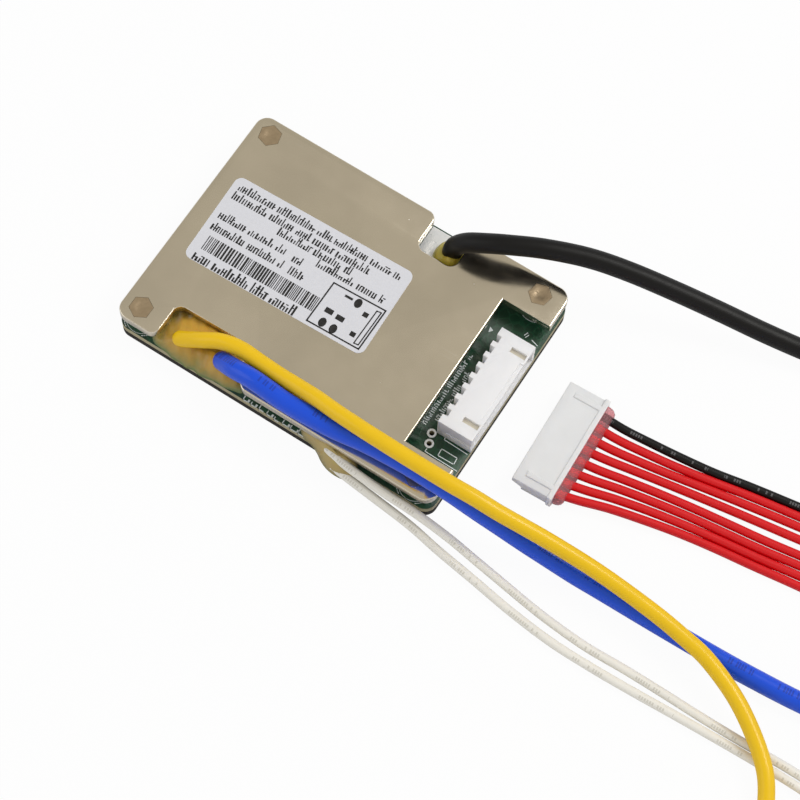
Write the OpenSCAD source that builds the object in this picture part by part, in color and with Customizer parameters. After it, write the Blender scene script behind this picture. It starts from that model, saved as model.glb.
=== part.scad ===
// Battery management board: a circuit board under a metal heatsink plate, with its soldered
// leads and its unplugged sense harness. Millimetres, +Z up, origin at the bottom centre of the
// board stack, +X towards the connector end, +Y towards the pack lead.

/* [Board stack] */
// Length of the board, the insulating pad and the plate along X
board_l = 70; // [66:1:90]
// Width of the board, the insulating pad and the plate along Y
board_w = 50; // [46:1:70]
// Thickness of the circuit board
board_t = 1.6; // [1:0.2:1.6]
// Corner radius of the whole stack
corner_r = 2.5; // [1:0.5:3.5]
// Thickness of the insulating pad under the board
pad_t = 2; // [1.9:0.1:2]
// Free height between the board and the plate
gap_h = 3.1; // [2.8:0.1:3.1]

/* [Heatsink plate] */
// Thickness of the plate
plate_t = 2; // [1.6:0.1:2]
// How far the connector cut-out reaches in from the +X edge
cutout_l = 10.4; // [9:0.1:13]
// Width of the connector cut-out along Y
cutout_w = 34; // [30:1:40]
// Left side of the pack lead notch, from the middle of the board
pack_notch_x = 5; // [-10:0.5:12]
// Length of the pack lead notch
pack_notch_l = 8.4; // [7:0.2:14]
// Depth of the pack lead notch
pack_notch_d = 7.9; // [6:0.1:9]
// Left side of the main leads notch, from the left edge of the board
lead_notch_in = 9.2; // [8:0.2:15]
// Length of the main leads notch
lead_notch_l = 18.4; // [14:0.2:24]
// Depth of the main leads notch
lead_notch_d = 7.9; // [6:0.1:9]
// Corner radius inside and outside each notch
notch_r = 1.8; // [0.5:0.1:2.4]

/* [Standoffs and screws] */
// Distance of the left standoffs from the left edge
standoff_left = 3.8; // [3.6:0.1:6]
// Distance of the right standoffs from the right edge
standoff_right = 5.1; // [4:0.1:7]
// Distance of each standoff from the long edge beside it
standoff_side = 3.4; // [3.3:0.1:4.5]
// Width of the standoff's hexagon head across its flats
hex_af = 4; // [3.8:0.1:5]
// Thickness of the standoff's hexagon head
hex_t = 1.3; // [0.8:0.1:1.5]
// Diameter of the standoff's barrel
barrel_d = 3.6; // [3.2:0.1:3.7]
// Depth of the cone dimpled into the hexagon head
dimple_t = 0.25; // [0.1:0.05:0.5]
// Diameter of the dimple
dimple_d = 2.6; // [1:0.2:3.4]
// Diameter of the screw's shank
screw_d = 2.5; // [2:0.1:2.6]
// Length of the screw's shank
screw_l = 4.2; // [3:0.1:4.6]
// Diameter of the screw's head
screw_head_d = 4.4; // [3.6:0.1:4.6]
// Thickness of the screw's head
screw_head_t = 1.5; // [1:0.1:1.7]

/* [Header] */
// Number of ways in the header and in the harness plug
ways = 8; // [4:1:8]
// Spacing of the ways
pitch = 2.5; // [2.4:0.1:2.6]
// Distance from an outer way to the end of the housing
header_end = 2.45; // [2.2:0.05:3]
// Depth of the header's body along X, without its fins
header_d = 6.4; // [6:0.1:7]
// Height of the header above the board
header_h = 6.1; // [5.6:0.1:7]
// Thickness of the header's walls
header_wall = 0.9; // [0.7:0.1:1.2]
// Thickness of the header's rear wall, which holds the pins
header_rear = 1.6; // [1.2:0.1:2]
// Length of the fins behind the header, between the pins
fin_l = 1; // [0.6:0.1:1.2]
// Width of each slot between two fins
fin_slot = 1.4; // [1:0.1:1.8]
// Place of the header's middle along Y
header_y = 0.4; // [-1:0.1:2]
// Width of the square pins
pin_w = 0.64; // [0.5:0.02:0.7]
// How far the pins reach into the socket
pin_reach = 3.6; // [2.5:0.1:4.5]
// Height of the pins above the board
pin_h = 3.2; // [2.8:0.1:3.6]
// Length of each key slot in the header's roof
key_l = 3.3; // [2:0.1:4]
// Width of each key slot
key_w = 1.1; // [0.6:0.1:1.6]

/* [Power parts] */
// Number of power transistors in each row
transistor_count = 5; // [2:1:5]
// Spacing of the power transistors along X
transistor_pitch = 9.4; // [8.4:0.1:10]
// Distance of each transistor row from the middle of the board
transistor_row_y = 8.6; // [8.4:0.1:10]
// Width of a transistor's body along X
transistor_w = 6.6; // [6:0.1:7]
// Depth of a transistor's body along Y
transistor_d = 6.1; // [5.6:0.1:6.6]
// Height of a transistor's body
transistor_h = 2.3; // [2:0.1:2.5]
// Length of a current-sense resistor
shunt_l = 6.3; // [5:0.1:6.8]
// Width of a current-sense resistor
shunt_w = 3.2; // [2.4:0.1:3.4]
// Height of a current-sense resistor
shunt_h = 0.8; // [0.5:0.1:1.2]

/* [Small parts] */
// Length of the control chip's body
chip_l = 8.6; // [7:0.1:9]
// Width of the control chip's body
chip_w = 3.9; // [3:0.1:4.4]
// Height of the control chip above the board
chip_h = 1.6; // [1.2:0.1:2]
// Length of a balancing resistor
balance_l = 3.2; // [2.4:0.1:3.4]
// Width of a balancing resistor
balance_w = 1.6; // [1:0.1:1.8]
// Height of a balancing resistor
balance_h = 0.6; // [0.4:0.1:0.8]
// Length of a small transistor's body
sot_l = 2.9; // [2.4:0.1:3]
// Width of a small transistor's body
sot_w = 1.3; // [1:0.1:1.6]
// Height of a small transistor
sot_h = 1; // [0.8:0.1:1.2]
// Length of a chip capacitor
cap_l = 2; // [1.4:0.1:2.2]
// Width of a chip capacitor
cap_w = 1.2; // [0.8:0.1:1.3]
// Height of a chip capacitor
cap_h = 0.9; // [0.5:0.1:1.2]
// Diameter of each drilled hole for a sense link
link_hole_d = 1; // [0.7:0.1:1.2]
// Diameter of the tinned ring round each drilled hole
link_ring_d = 1.8; // [1.6:0.1:1.8]
// Thickness of the tinned copper on the board
copper_t = 0.1; // [0.05:0.05:0.2]

/* [Label] */
// Length of the label
label_l = 39.4; // [30:0.2:42]
// Width of the label
label_w = 19.6; // [14:0.2:24]
// Thickness of the label
label_t = 0.1; // [0.05:0.05:0.2]
// Corner radius of the label
label_r = 1.5; // [0.5:0.1:3]
// Place of the label's middle along X
label_x = -11.4; // [-13:0.1:-8]
// Place of the label's middle along Y
label_y = 1.9; // [-3:0.1:3]
// Turn of the label on the plate, in degrees
label_turn = 1.5; // [-3:0.5:3]

/* [Leads] */
// Diameter of the black pack lead
black_d = 3.9; // [3:0.1:3.9]
// Diameter of the yellow lead
yellow_d = 3.1; // [2.4:0.1:3.1]
// Diameter of the blue lead
blue_d = 3.8; // [3:0.1:3.8]
// Diameter of each white lead
white_d = 1.7; // [1.2:0.1:1.7]
// Diameter of each harness wire
sense_d = 1.7; // [1.2:0.1:1.7]
// Length of each thick lead's tinned end
bare_l = 7; // [4:0.5:10]
// Length of each thin lead's tinned end
thin_bare_l = 4; // [2:0.5:8]

/* [Harness plug] */
// Width of the plug's housing across the ways
plug_w = 22.3; // [21.9:0.1:23]
// Height of the plug's housing
plug_h = 4.9; // [4.7:0.1:6.2]
// Depth of the plug's housing from its mating edge to its wire end
plug_d = 8.4; // [7:0.1:9.8]
// How far the roof reaches past the mating face
plug_hood = 1.9; // [1:0.1:2.5]
// Width and height of each contact channel
channel_w = 1.9; // [1.75:0.05:2.1]
// Height of the channels' middle above the surface the plug lies on
channel_z = 2.5; // [2.3:0.1:3.2]
// Height of the raised ribs on the plug's roof
rib_h = 0.35; // [0.2:0.05:0.6]
// Width of those ribs
rib_w = 1; // [0.6:0.1:1.4]
// Turn of the plug on the surface, in degrees
plug_turn = 2; // [-5:0.5:5]

/* [Hidden] */
$fn = 48;
eps = 0.01;
// running clearance between pieces that seat in one another
fit_gap = 0.05;
// clearance round the screw heads, the header pins and the shanks
screw_gap = 0.3;
shank_gap = 0.2;
thread_gap = 0.02;
pin_gap = 0.12;

board_z = pad_t;
top_z = board_z + board_t;
plate_z = top_z + gap_h;
roof_z = plate_z + plate_t;

standoff_places = [for (x = [standoff_left - board_l / 2, board_l / 2 - standoff_right])
                   for (y = [standoff_side - board_w / 2, board_w / 2 - standoff_side]) [x, y]];
hex_turns = [0, 13, 0, -12];
lead_notch_x = lead_notch_in - board_l / 2;

header_l = (ways - 1) * pitch + 2 * header_end;
header_front = board_l / 2;
header_back = header_front - header_d;
fins_back = header_back - fin_l;
pins_x = fins_back + pin_w / 2 + pin_gap;
pin_places = [for (i = [0:ways - 1]) header_y + (i - (ways - 1) / 2) * pitch];
pin_tail = 1;
tail_room = 0.4;
key_y = header_l / 2 - 2.9;
key_front = 0.4;
lip_l = 0.8;
lip_t = 0.25;
lip_end = 4.4;
end_groove_z = 2.3;
end_groove_h = 0.6;
end_groove_t = 0.4;

link_places = [[fins_back, header_y - header_l / 2 - 2.6], [fins_back - 0.7, header_y - header_l / 2 - 0.6]];

transistor_x0 = -6.4;
transistor_places = [for (side = [-1, 1]) for (i = [0:transistor_count - 1])
                     [transistor_x0 + (i - (transistor_count - 1) / 2) * transistor_pitch,
                      side * transistor_row_y, side]];
thermal_margin = 0.8;
tab_l = 1.4;
tab_w = 5.4;
tab_t = 0.5;
leg_w = 0.8;
leg_t = 0.5;
leg_l = 2.2;
leg_spread = 2.3;
shunt_x = [-22, -12.6, -3.2];
shunt_end_l = 0.9;
chip_x = 9.5;
chip_pins = 7;
chip_pitch = 1.27;
chip_leg_w = 0.4;
chip_leg_l = 1;
chip_lift = 0.15;
chip_leg_t = 0.2;
balance_x = 20.6;
balance_step = 3.8;
balance_end_l = 0.5;
sot_x = 17.3;
sot_leg_w = 0.4;
sot_leg_l = 0.6;
sot_leg_t = 0.15;
sot_lift = 0.1;
cap_places = [[-30, -8], [-30, -4.6], [-30, 4.6], [-30, 8], [-14, 16.4], [-8, 16.4], [-2, 16.4],
              [17, -17.6], [21, -17.6], [17, 17.6], [21, 17.6]];
cap_end_l = 0.4;

plug_stand = 12.9;
plug_aside = 0.35;
plug_centre = [board_l / 2 + plug_stand, plug_aside];
hood_t = 1.5;
channel_places = [for (i = [0:ways - 1]) ((ways - 1) / 2 - i) * pitch];
contact_l = 5;
contact_front = plug_hood + 0.4;
contact_back = contact_front + contact_l;
wire_straight = 0.9;
wire_gap = 0.15;
contact_w = 1.5;
contact_t = 0.2;
rib_y = 8.6;
rib_start = 2;
flange_l = 1;
flange_w = 0.25;
flange_lift = 0.8;
body_inset = 0.4;
window_w = 1.3;
window_l = 1.4;
window_x = 3;
bead_l = 2;
bead_r = 1.1;
bead_z = 2.5;

// Balls of the glue blobs, [x, y, height, radius], from the pack lead's foot, from the left end of the
// main leads notch at the board's edge, and from the start of the white leads at that edge.
PACK_GLUE = [[0.3, 0, 0, 3.2], [1, -0.6, 1.4, 2.6], [0, 0.8, 1.2, 2.5]];
MAIN_GLUE = [[[1.4, 2, 0, 1.9], [1.4, 6, 0, 2.4], [17, 2, 0, 1.9], [17, 6, 0, 2.4], [5, 3.4, 2, 2],
              [13.4, 3.6, 2, 2], [9, 5, 1.8, 2]],
             [[4.6, 3, 2, 2.3], [3.4, 3, 1, 2.4]],
             [[13.4, 3.2, 2, 2.4], [12.2, 3.4, 1.2, 2.4]]];
WHITE_GLUE = [[2, 2.2, 0, 2.4], [9.6, 0.6, 0, 2], [6, 1.4, 0.8, 2.2]];
pool_spread = 2;

// Routes of the leads, each point [x, y, height], with x and y from the left corner of the notch that
// the lead starts in, on the board's edge. Each is followed on one smooth curve through its points.
pack_corner = [pack_notch_x, board_w / 2, 0];
lead_corner = [lead_notch_x, -board_w / 2, 0];
function from_corner(corner, points) = [for (p = points) corner + p];
BLACK = from_corner(pack_corner, [
    [5.9, -4.2, 3.8], [5.9, -4.2, 6.4], [6.4, -4, 9.4], [8.5, -3.4, 12.3], [12, -2.3, 14.2],
    [16, -0.6, 15.1], [22, 2.3, 15.2], [29.5, 5.6, 14.2], [37, 8, 12.7], [46, 10.3, 10.5],
    [55, 12.5, 7.9], [64, 14.5, 5.4], [73, 16.6, 3.4], [82, 18.7, 2.3], [91, 20.5, 2],
    [101, 22, 2], [111, 23, 2], [121, 23.4, 2], [131, 23.4, 2]]);
YELLOW = from_corner(lead_corner, [
    [1.8, 2.8, 5.3], [4.2, 3, 6.7], [7.8, 4, 8.9], [11.4, 5.3, 10.3], [15.4, 5.9, 10.8],
    [20.2, 5.7, 10.7], [24.7, 5.4, 11], [29.2, 5.1, 11.9], [33.3, 4.7, 13], [37.2, 4.2, 13.7],
    [41.2, 3.8, 14.4], [45.3, 3.6, 14.7], [51.9, 3.5, 14.7], [57.2, 3.5, 14.6], [62.5, 3.6, 14.3],
    [67.6, 4, 13.5], [72.8, 4.4, 12.2], [82.9, 5.5, 9.8], [93.3, 6, 7.8], [104.2, 5.5, 6.5],
    [111.1, 4.7, 5.8], [118.2, 3.2, 5.4], [127.2, -0.9, 4.6], [136, -7.8, 3.3],
    [140.8, -15.6, 2.1], [144.8, -21.4, 1.7], [150.8, -26, 1.6], [158.8, -28.8, 1.6],
    [167.8, -29.8, 1.6], [176.8, -29.8, 1.6]]);
BLUE = from_corner(lead_corner, [
    [10.8, 3.7, 5.5], [13.2, 3.1, 7.6], [16.4, 2.2, 10.1], [20.3, 2, 11.2], [24, 1.8, 11.2],
    [27.7, 1.6, 11], [31.5, 1.7, 10.9], [38.5, 2.1, 10.9], [45.1, 3, 10.9], [52.8, 3.5, 10.9],
    [58.1, 3.5, 10.9], [62.9, 3.5, 10.6], [68.1, 3.7, 9], [73.3, 4.1, 7], [78.6, 4.4, 5.3],
    [83.9, 4.7, 3.9], [89.2, 4.9, 2.9], [94.5, 5.2, 2.2], [105, 5.4, 1.9], [115.3, 5.6, 1.9],
    [123.5, 5.9, 1.9], [134.6, 6.7, 1.9], [142.8, 7.9, 1.9], [153.8, 10, 1.9], [164.8, 12, 1.9],
    [175.8, 13.2, 1.9], [186.8, 13.6, 1.9], [197.8, 13.6, 1.9]]);
WHITE_1 = from_corner(lead_corner, [
    [28.8, 2.5, 5.4], [33.8, 1.4, 5.7], [37.8, 0.1, 5.7], [41.8, -0.8, 5.4], [46.8, -1.2, 5],
    [51.8, -1.4, 4.6], [56.8, -1.5, 4.5], [61.3, -1.6, 4], [66.8, -1.9, 3.1], [72.3, -2.5, 2.2],
    [77.8, -3.1, 1.4], [83.8, -3.9, 1], [89.8, -4.6, 0.9], [97.8, -5.1, 0.9], [105.8, -4.9, 0.9],
    [113.8, -4.9, 0.9], [121.8, -5, 0.9], [130.8, -4.9, 0.9], [139.8, -4.6, 0.9],
    [149.8, -4.8, 0.9], [159.8, -4.9, 0.9], [169.8, -5, 0.9], [179.8, -5, 0.9]]);
WHITE_2 = from_corner(lead_corner, [
    [28.8, 0.6, 4.6], [33.8, -0.5, 4.5], [37.8, -1.5, 4.1], [42.8, -2.1, 3.5], [46.8, -2.4, 3],
    [51.3, -2.7, 2.5], [58.8, -3.3, 1.8], [65.8, -4.4, 1.2], [73.8, -5.5, 0.9], [82.8, -6.9, 0.9],
    [91.8, -7.8, 0.9], [99.8, -7.9, 0.9], [107.8, -7.7, 0.9], [118.8, -7.2, 0.9],
    [129.8, -6.8, 0.9], [139.8, -6.6, 0.9], [149.8, -6.8, 0.9], [159.8, -7, 0.9],
    [169.8, -7.2, 0.9], [179.8, -7.2, 0.9]]);
// stations of the harness wires along X from the plug's middle, their heights there, and each wire's
// place across
SENSE_X = [8.9, 13.9, 19.9, 26.9, 33.9, 41.9, 51.9, 61.9, 71.9, 81.9, 91.9, 101.9, 111.9, 121.9, 131.9];
SENSE_Z = [2.4, 2.1, 1.7, 1.3, 1, 0.9, 0.9, 0.9, 0.9, 0.9, 0.9, 0.9, 0.9, 0.9, 0.9];
SENSE_Y = [[9.3, 9.8, 10.5, 11.5, 12.9, 14.2, 15.7, 16.7, 17.3, 17.5, 17.4, 17, 16.6, 16.4, 16.4],
           [6.9, 7.5, 8.4, 9.7, 11.1, 12.4, 13.8, 14.8, 15.4, 15.6, 15.4, 15, 14.6, 14.4, 14.4],
           [4.6, 5.4, 6.5, 7.9, 9.2, 10.5, 11.9, 12.8, 13.4, 13.6, 13.4, 13, 12.6, 12.4, 12.4],
           [2.3, 3.3, 4.5, 5.8, 7, 8.2, 9.6, 10.6, 11.2, 11.4, 11.3, 11, 10.6, 10.4, 10.4],
           [-0.2, 0.9, 2.1, 3.3, 4.3, 5.3, 6.8, 8.1, 9, 9.3, 9.2, 9, 8.6, 8.4, 8.4],
           [-2.5, -1.2, 0.1, 1.4, 2.4, 3.4, 4.9, 6.1, 7, 7.3, 7.2, 7, 6.6, 6.4, 6.4],
           [-4.9, -3.4, -1.9, -0.5, 0.6, 1.6, 3, 4.1, 5, 5.3, 5.2, 5, 4.6, 4.4, 4.4],
           [-7.3, -5.6, -4, -2.4, -1.2, -0.2, 1.1, 2.1, 3, 3.3, 3.2, 3, 2.6, 2.4, 2.4]];

function unit(v) = v / norm(v);
// point at t between b and c on the smooth curve through a, b, c and d
function between(a, b, c, d, t) =
    (2 * b + (c - a) * t + (2 * a - 5 * b + 4 * c - d) * t * t + (3 * b - a - 3 * c + d) * t * t * t) / 2;
// a route's point i, with one more point carried on straight at each end
function at(route, i) = i < 0 ? 2 * route[0] - route[1]
    : i >= len(route) ? 2 * route[len(route) - 1] - route[len(route) - 2] : route[i];
// a route with each of its stretches divided into steps
function smooth(route, steps) = concat(
    [for (i = [0:len(route) - 2]) for (j = [0:steps - 1])
        between(at(route, i - 1), route[i], route[i + 1], at(route, i + 2), j / steps)],
    [route[len(route) - 1]]);
function along(path, i) = unit(path[min(i + 1, len(path) - 1)] - path[max(i - 1, 0)]);
// a point of the plug's own frame, at the height of its channels
function plug_point(x, y) = [plug_centre[0] + (x - plug_d / 2) * cos(plug_turn) - y * sin(plug_turn),
                             plug_centre[1] + (x - plug_d / 2) * sin(plug_turn) + y * cos(plug_turn), channel_z];
// a harness wire starts at its contact and leaves its channel straight
function sense_route(k) = concat(
    [plug_point(contact_back + wire_gap, channel_places[k]), plug_point(plug_d + wire_straight, channel_places[k])],
    [for (i = [0:len(SENSE_X) - 1]) [plug_centre[0] + SENSE_X[i], SENSE_Y[k][i], SENSE_Z[i]]]);

// a round tube of diameter d swept along a route, with flat ends; rings limits it to its first part
module tube(route, d, steps = 1, rings = 1000, sides = 8) {
    path = smooth(route, steps);
    n = min(rings, len(path));
    points = [for (i = [0:n - 1])
        let (t = along(path, i), u = unit(cross(t, [0, 1, 0])), v = cross(t, u))
        for (k = [0:sides - 1]) path[i] + d / 2 * (cos(k * 360 / sides) * u + sin(k * 360 / sides) * v)];
    walls = [for (i = [0:n - 2]) for (k = [0:sides - 1])
        [i * sides + k, (i + 1) * sides + k, (i + 1) * sides + (k + 1) % sides, i * sides + (k + 1) % sides]];
    first_cap = [for (k = [0:sides - 1]) k];
    last_cap = [for (k = [sides - 1:-1:0]) (n - 1) * sides + k];
    polyhedron(points, concat(walls, [first_cap, last_cap]));
}

// the tinned end of a lead: a rod that carries on from the last point of its route
module bare_end(route, d, l) {
    translate(route[len(route) - 1]) rotate([0, 90, 0]) cylinder(d = d, h = l);
}

module rounded_rect(l, w, r) {
    square([l - 2 * r, w], center = true);
    square([l, w - 2 * r], center = true);
    for (x = [-1, 1]) for (y = [-1, 1]) translate([x * (l / 2 - r), y * (w / 2 - r)]) circle(r);
}

// the outline shared by the pad, the board and the plate
module stack_outline() {
    rounded_rect(board_l, board_w, corner_r);
}

// a notch from the edge at y = 0 down to y = -d, rounded inside and at its mouth
module notch(l, d) {
    translate([0, notch_r - d]) square([l, d - notch_r + 1]);
    translate([notch_r, -d]) square([l - 2 * notch_r, d]);
    for (x = [notch_r, l - notch_r]) translate([x, notch_r - d]) circle(notch_r);
    for (side = [0, 1]) translate([side * l, 0]) mirror([side, 0]) difference() {
        translate([-notch_r, -notch_r]) square([notch_r + eps, notch_r + 1]);
        translate([-notch_r, -notch_r]) circle(notch_r);
    }
}

module pack_notch() {
    translate([pack_notch_x, board_w / 2]) notch(pack_notch_l, pack_notch_d);
}

module lead_notch() {
    translate([lead_notch_x, -board_w / 2]) mirror([0, 1]) notch(lead_notch_l, lead_notch_d);
}

module base_pad() {
    color([0.08, 0.07, 0.06]) difference() {
        linear_extrude(pad_t) stack_outline();
        for (p = standoff_places) translate([p[0], p[1], -1])
            cylinder(d = screw_head_d + 2 * screw_gap, h = pad_t + 2);
        translate([pins_x - 1.4, header_y - header_l / 2, pad_t - pin_tail - tail_room])
            cube([2.8, header_l, pin_tail + tail_room + 1]);
    }
}

module circuit_board() {
    color([0.05, 0.3, 0.16]) translate([0, 0, board_z]) difference() {
        linear_extrude(board_t) stack_outline();
        for (p = standoff_places) translate([p[0], p[1], -1])
            cylinder(d = screw_d + 2 * shank_gap, h = board_t + 2);
        for (y = pin_places) translate([pins_x, y, -1])
            cylinder(d = pin_w * sqrt(2) + 2 * pin_gap, h = board_t + 2);
        for (p = link_places) translate([p[0], p[1], -1]) cylinder(d = link_hole_d, h = board_t + 2);
    }
}

// the tinned copper on top of the board: the pack pad and the rings of the link holes
module tinned_pads() {
    pad_lap = 0.6;
    pad_rim = 0.3;
    color([0.82, 0.83, 0.84]) translate([0, 0, top_z]) {
        difference() {
            translate([pack_notch_x - pad_lap, board_w / 2 - pack_notch_d - pad_lap, 0])
                cube([pack_notch_l + pad_lap, pack_notch_d + pad_lap - pad_rim, copper_t]);
            translate([BLACK[0][0], BLACK[0][1], -1]) cylinder(d = black_d + 0.6, h = 3);
        }
        for (p = link_places) translate([p[0], p[1], 0]) difference() {
            cylinder(d = link_ring_d, h = copper_t);
            translate([0, 0, -1]) cylinder(d = link_hole_d, h = 3);
        }
    }
}

// outline of the standoff head at place i, each clinched at its own angle
module hexagon(i, af) {
    rotate(30 + hex_turns[i]) circle(d = af / cos(30), $fn = 6);
}

module heatsink_plate() {
    color([0.64, 0.6, 0.53]) translate([0, 0, plate_z]) difference() {
        linear_extrude(plate_t) difference() {
            stack_outline();
            pack_notch();
            lead_notch();
            translate([board_l / 2 - cutout_l, -cutout_w / 2]) square([cutout_l + 1, cutout_w]);
        }
        for (i = [0:len(standoff_places) - 1]) translate([standoff_places[i][0], standoff_places[i][1], 0]) {
            translate([0, 0, -1]) cylinder(d = barrel_d + 2 * fit_gap, h = plate_t + 2);
            translate([0, 0, plate_t - hex_t]) linear_extrude(hex_t + 1) hexagon(i, hex_af + 2 * fit_gap);
        }
    }
}

// four standoffs whose hexagon heads are clinched flush into the plate
module clinch_standoffs() {
    barrel_h = gap_h + plate_t - hex_t;
    color([0.6, 0.53, 0.45]) for (i = [0:len(standoff_places) - 1])
        translate([standoff_places[i][0], standoff_places[i][1], top_z]) difference() {
        union() {
            cylinder(d = barrel_d, h = barrel_h + eps);
            translate([0, 0, barrel_h]) linear_extrude(hex_t) hexagon(i, hex_af);
        }
        translate([0, 0, -1]) cylinder(d = screw_d + 2 * thread_gap, h = gap_h + 1.6);
        translate([0, 0, barrel_h + hex_t - dimple_t])
            cylinder(d1 = 0, d2 = dimple_d, h = dimple_t + eps);
    }
}

// pan-head screws, driven from below through the board into the standoffs
module board_screws() {
    slot_w = 0.6;
    slot_l = 2.4;
    slot_t = 0.7;
    color([0.75, 0.75, 0.76]) for (p = standoff_places) translate([p[0], p[1], board_z]) difference() {
        union() {
            translate([0, 0, -screw_head_t]) cylinder(d = screw_d, h = screw_head_t + screw_l);
            translate([0, 0, -screw_head_t]) cylinder(d = screw_head_d, h = screw_head_t);
        }
        for (turn = [0, 90]) rotate(turn)
            translate([-slot_l / 2, -slot_w / 2, -screw_head_t - 1]) cube([slot_l, slot_w, slot_t + 1]);
    }
}

module header_housing() {
    color([0.91, 0.91, 0.92]) translate([0, header_y, top_z]) difference() {
        union() {
            translate([header_back, -header_l / 2, 0]) cube([header_d, header_l, header_h]);
            translate([fins_back, -header_l / 2, 0]) cube([fin_l + eps, header_l, header_h]);
        }
        // slots between the fins, one for each pin
        for (y = pin_places) translate([fins_back - 1, y - header_y - fin_slot / 2, -1])
            cube([fin_l + 1, fin_slot, header_h + 2]);
        // the socket
        translate([header_back + header_rear, header_wall - header_l / 2, header_wall])
            cube([header_d, header_l - 2 * header_wall, header_h - 2 * header_wall]);
        // holes for the pins through the rear wall
        for (y = pin_places) translate([header_back - 1, y - header_y - pin_w / 2, pin_h - pin_w / 2])
            cube([header_rear + 2, pin_w, pin_w]);
        // key slots through the roof
        for (side = [-1, 1])
            translate([header_front - key_front - key_l, side * key_y - key_w / 2, header_h - header_wall - 1])
                cube([key_l, key_w, header_wall + 2]);
        // thinned lip at the mouth, between the key slots
        translate([header_front - lip_l, lip_end - header_l / 2, header_h - lip_t])
            cube([lip_l + 1, header_l - 2 * lip_end, lip_t + 1]);
        // groove along each end
        for (side = [-1, 1]) translate([header_back + 1, side * header_l / 2 - end_groove_t, end_groove_z])
            cube([header_d, 2 * end_groove_t, end_groove_h]);
    }
}

// square pins bent down behind the housing and soldered through the board
module header_pins() {
    reach = header_back + header_rear + pin_reach;
    down = pin_h + board_t + pin_tail;
    color([0.78, 0.77, 0.74]) for (y = pin_places) translate([0, y - pin_w / 2, top_z]) {
        translate([pins_x - pin_w / 2, 0, pin_h - pin_w / 2]) cube([reach - pins_x + pin_w / 2, pin_w, pin_w]);
        translate([pins_x - pin_w / 2, 0, pin_h - down]) cube([pin_w, pin_w, down]);
    }
}

// moulded power transistors, in two rows that face outwards
module power_transistors() {
    chamfer = 0.5;
    color([0.1, 0.1, 0.11]) for (p = transistor_places) translate([p[0] - transistor_w / 2, p[1], top_z])
        rotate([90, 0, 90]) linear_extrude(transistor_w) polygon([
            [-transistor_d / 2, 0], [transistor_d / 2, 0],
            [transistor_d / 2, transistor_h - chamfer], [transistor_d / 2 - chamfer / 2, transistor_h],
            [chamfer / 2 - transistor_d / 2, transistor_h], [-transistor_d / 2, transistor_h - chamfer]]);
}

// each transistor's soldered tab on one side and its two legs on the other
module transistor_legs() {
    edge = transistor_d / 2;
    color([0.78, 0.78, 0.77]) for (p = transistor_places) translate([p[0], p[1], top_z]) mirror([0, p[2] < 0 ? 1 : 0]) {
        translate([-tab_w / 2, edge, 0]) cube([tab_w, tab_l, tab_t]);
        for (x = [-leg_spread, leg_spread]) translate([x - leg_w / 2, -edge - leg_l, 0])
            rotate([90, 0, 90]) linear_extrude(leg_w) polygon([
                [0, 0], [leg_l / 2, 0], [leg_l - leg_t, transistor_h / 2 - leg_t], [leg_l, transistor_h / 2 - leg_t],
                [leg_l, transistor_h / 2], [leg_l - 2 * leg_t, transistor_h / 2], [leg_l / 2 - leg_t, leg_t], [0, leg_t]]);
    }
}

// soft pads that fill the space between the transistors and the plate
module thermal_pads() {
    l = (transistor_count - 1) * transistor_pitch + transistor_w + 2 * thermal_margin;
    color([0.62, 0.64, 0.66]) for (side = [-1, 1])
        translate([transistor_x0 - l / 2, side * transistor_row_y - transistor_d / 2, top_z + transistor_h])
            cube([l, transistor_d, gap_h - transistor_h]);
}

module shunt_resistors() {
    color([0.12, 0.12, 0.13]) for (x = shunt_x) translate([x - shunt_l / 2 + shunt_end_l, -shunt_w / 2, top_z])
        cube([shunt_l - 2 * shunt_end_l, shunt_w, shunt_h]);
}

module shunt_ends() {
    color([0.78, 0.78, 0.77]) for (x = shunt_x) for (side = [-1, 1])
        translate([x + side * (shunt_l - shunt_end_l) / 2 - shunt_end_l / 2, -shunt_w / 2, top_z])
            cube([shunt_end_l, shunt_w, shunt_h]);
}

module control_chip() {
    color([0.1, 0.1, 0.11]) translate([chip_x - chip_l / 2, -chip_w / 2, top_z + chip_lift])
        cube([chip_l, chip_w, chip_h - chip_lift]);
}

// gull-wing legs along both sides of the control chip
module control_chip_legs() {
    mid = (chip_h + chip_lift) / 2;
    color([0.78, 0.78, 0.77]) for (side = [0, 1]) mirror([0, side]) for (i = [0:chip_pins - 1])
        translate([chip_x + (i - (chip_pins - 1) / 2) * chip_pitch - chip_leg_w / 2, chip_w / 2, top_z])
            rotate([90, 0, 90]) linear_extrude(chip_leg_w) polygon([
                [0, mid], [chip_leg_l / 2, mid], [chip_leg_l / 2, chip_leg_t], [chip_leg_l, chip_leg_t],
                [chip_leg_l, 0], [chip_leg_l / 2 - chip_leg_t, 0], [chip_leg_l / 2 - chip_leg_t, mid - chip_leg_t],
                [0, mid - chip_leg_t]]);
}

balance_places = [for (i = [0:ways - 1]) (i - (ways - 1) / 2) * balance_step];

module balance_resistors() {
    color([0.12, 0.12, 0.13]) for (y = balance_places)
        translate([balance_x - balance_l / 2 + balance_end_l, y - balance_w / 2, top_z])
            cube([balance_l - 2 * balance_end_l, balance_w, balance_h]);
}

module balance_resistor_ends() {
    color([0.78, 0.78, 0.77]) for (y = balance_places) for (side = [-1, 1])
        translate([balance_x + side * (balance_l - balance_end_l) / 2 - balance_end_l / 2, y - balance_w / 2, top_z])
            cube([balance_end_l, balance_w, balance_h]);
}

module balance_transistors() {
    color([0.1, 0.1, 0.11]) for (y = balance_places) translate([sot_x - sot_w / 2, y - sot_l / 2, top_z + sot_lift])
        cube([sot_w, sot_l, sot_h - sot_lift]);
}

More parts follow.
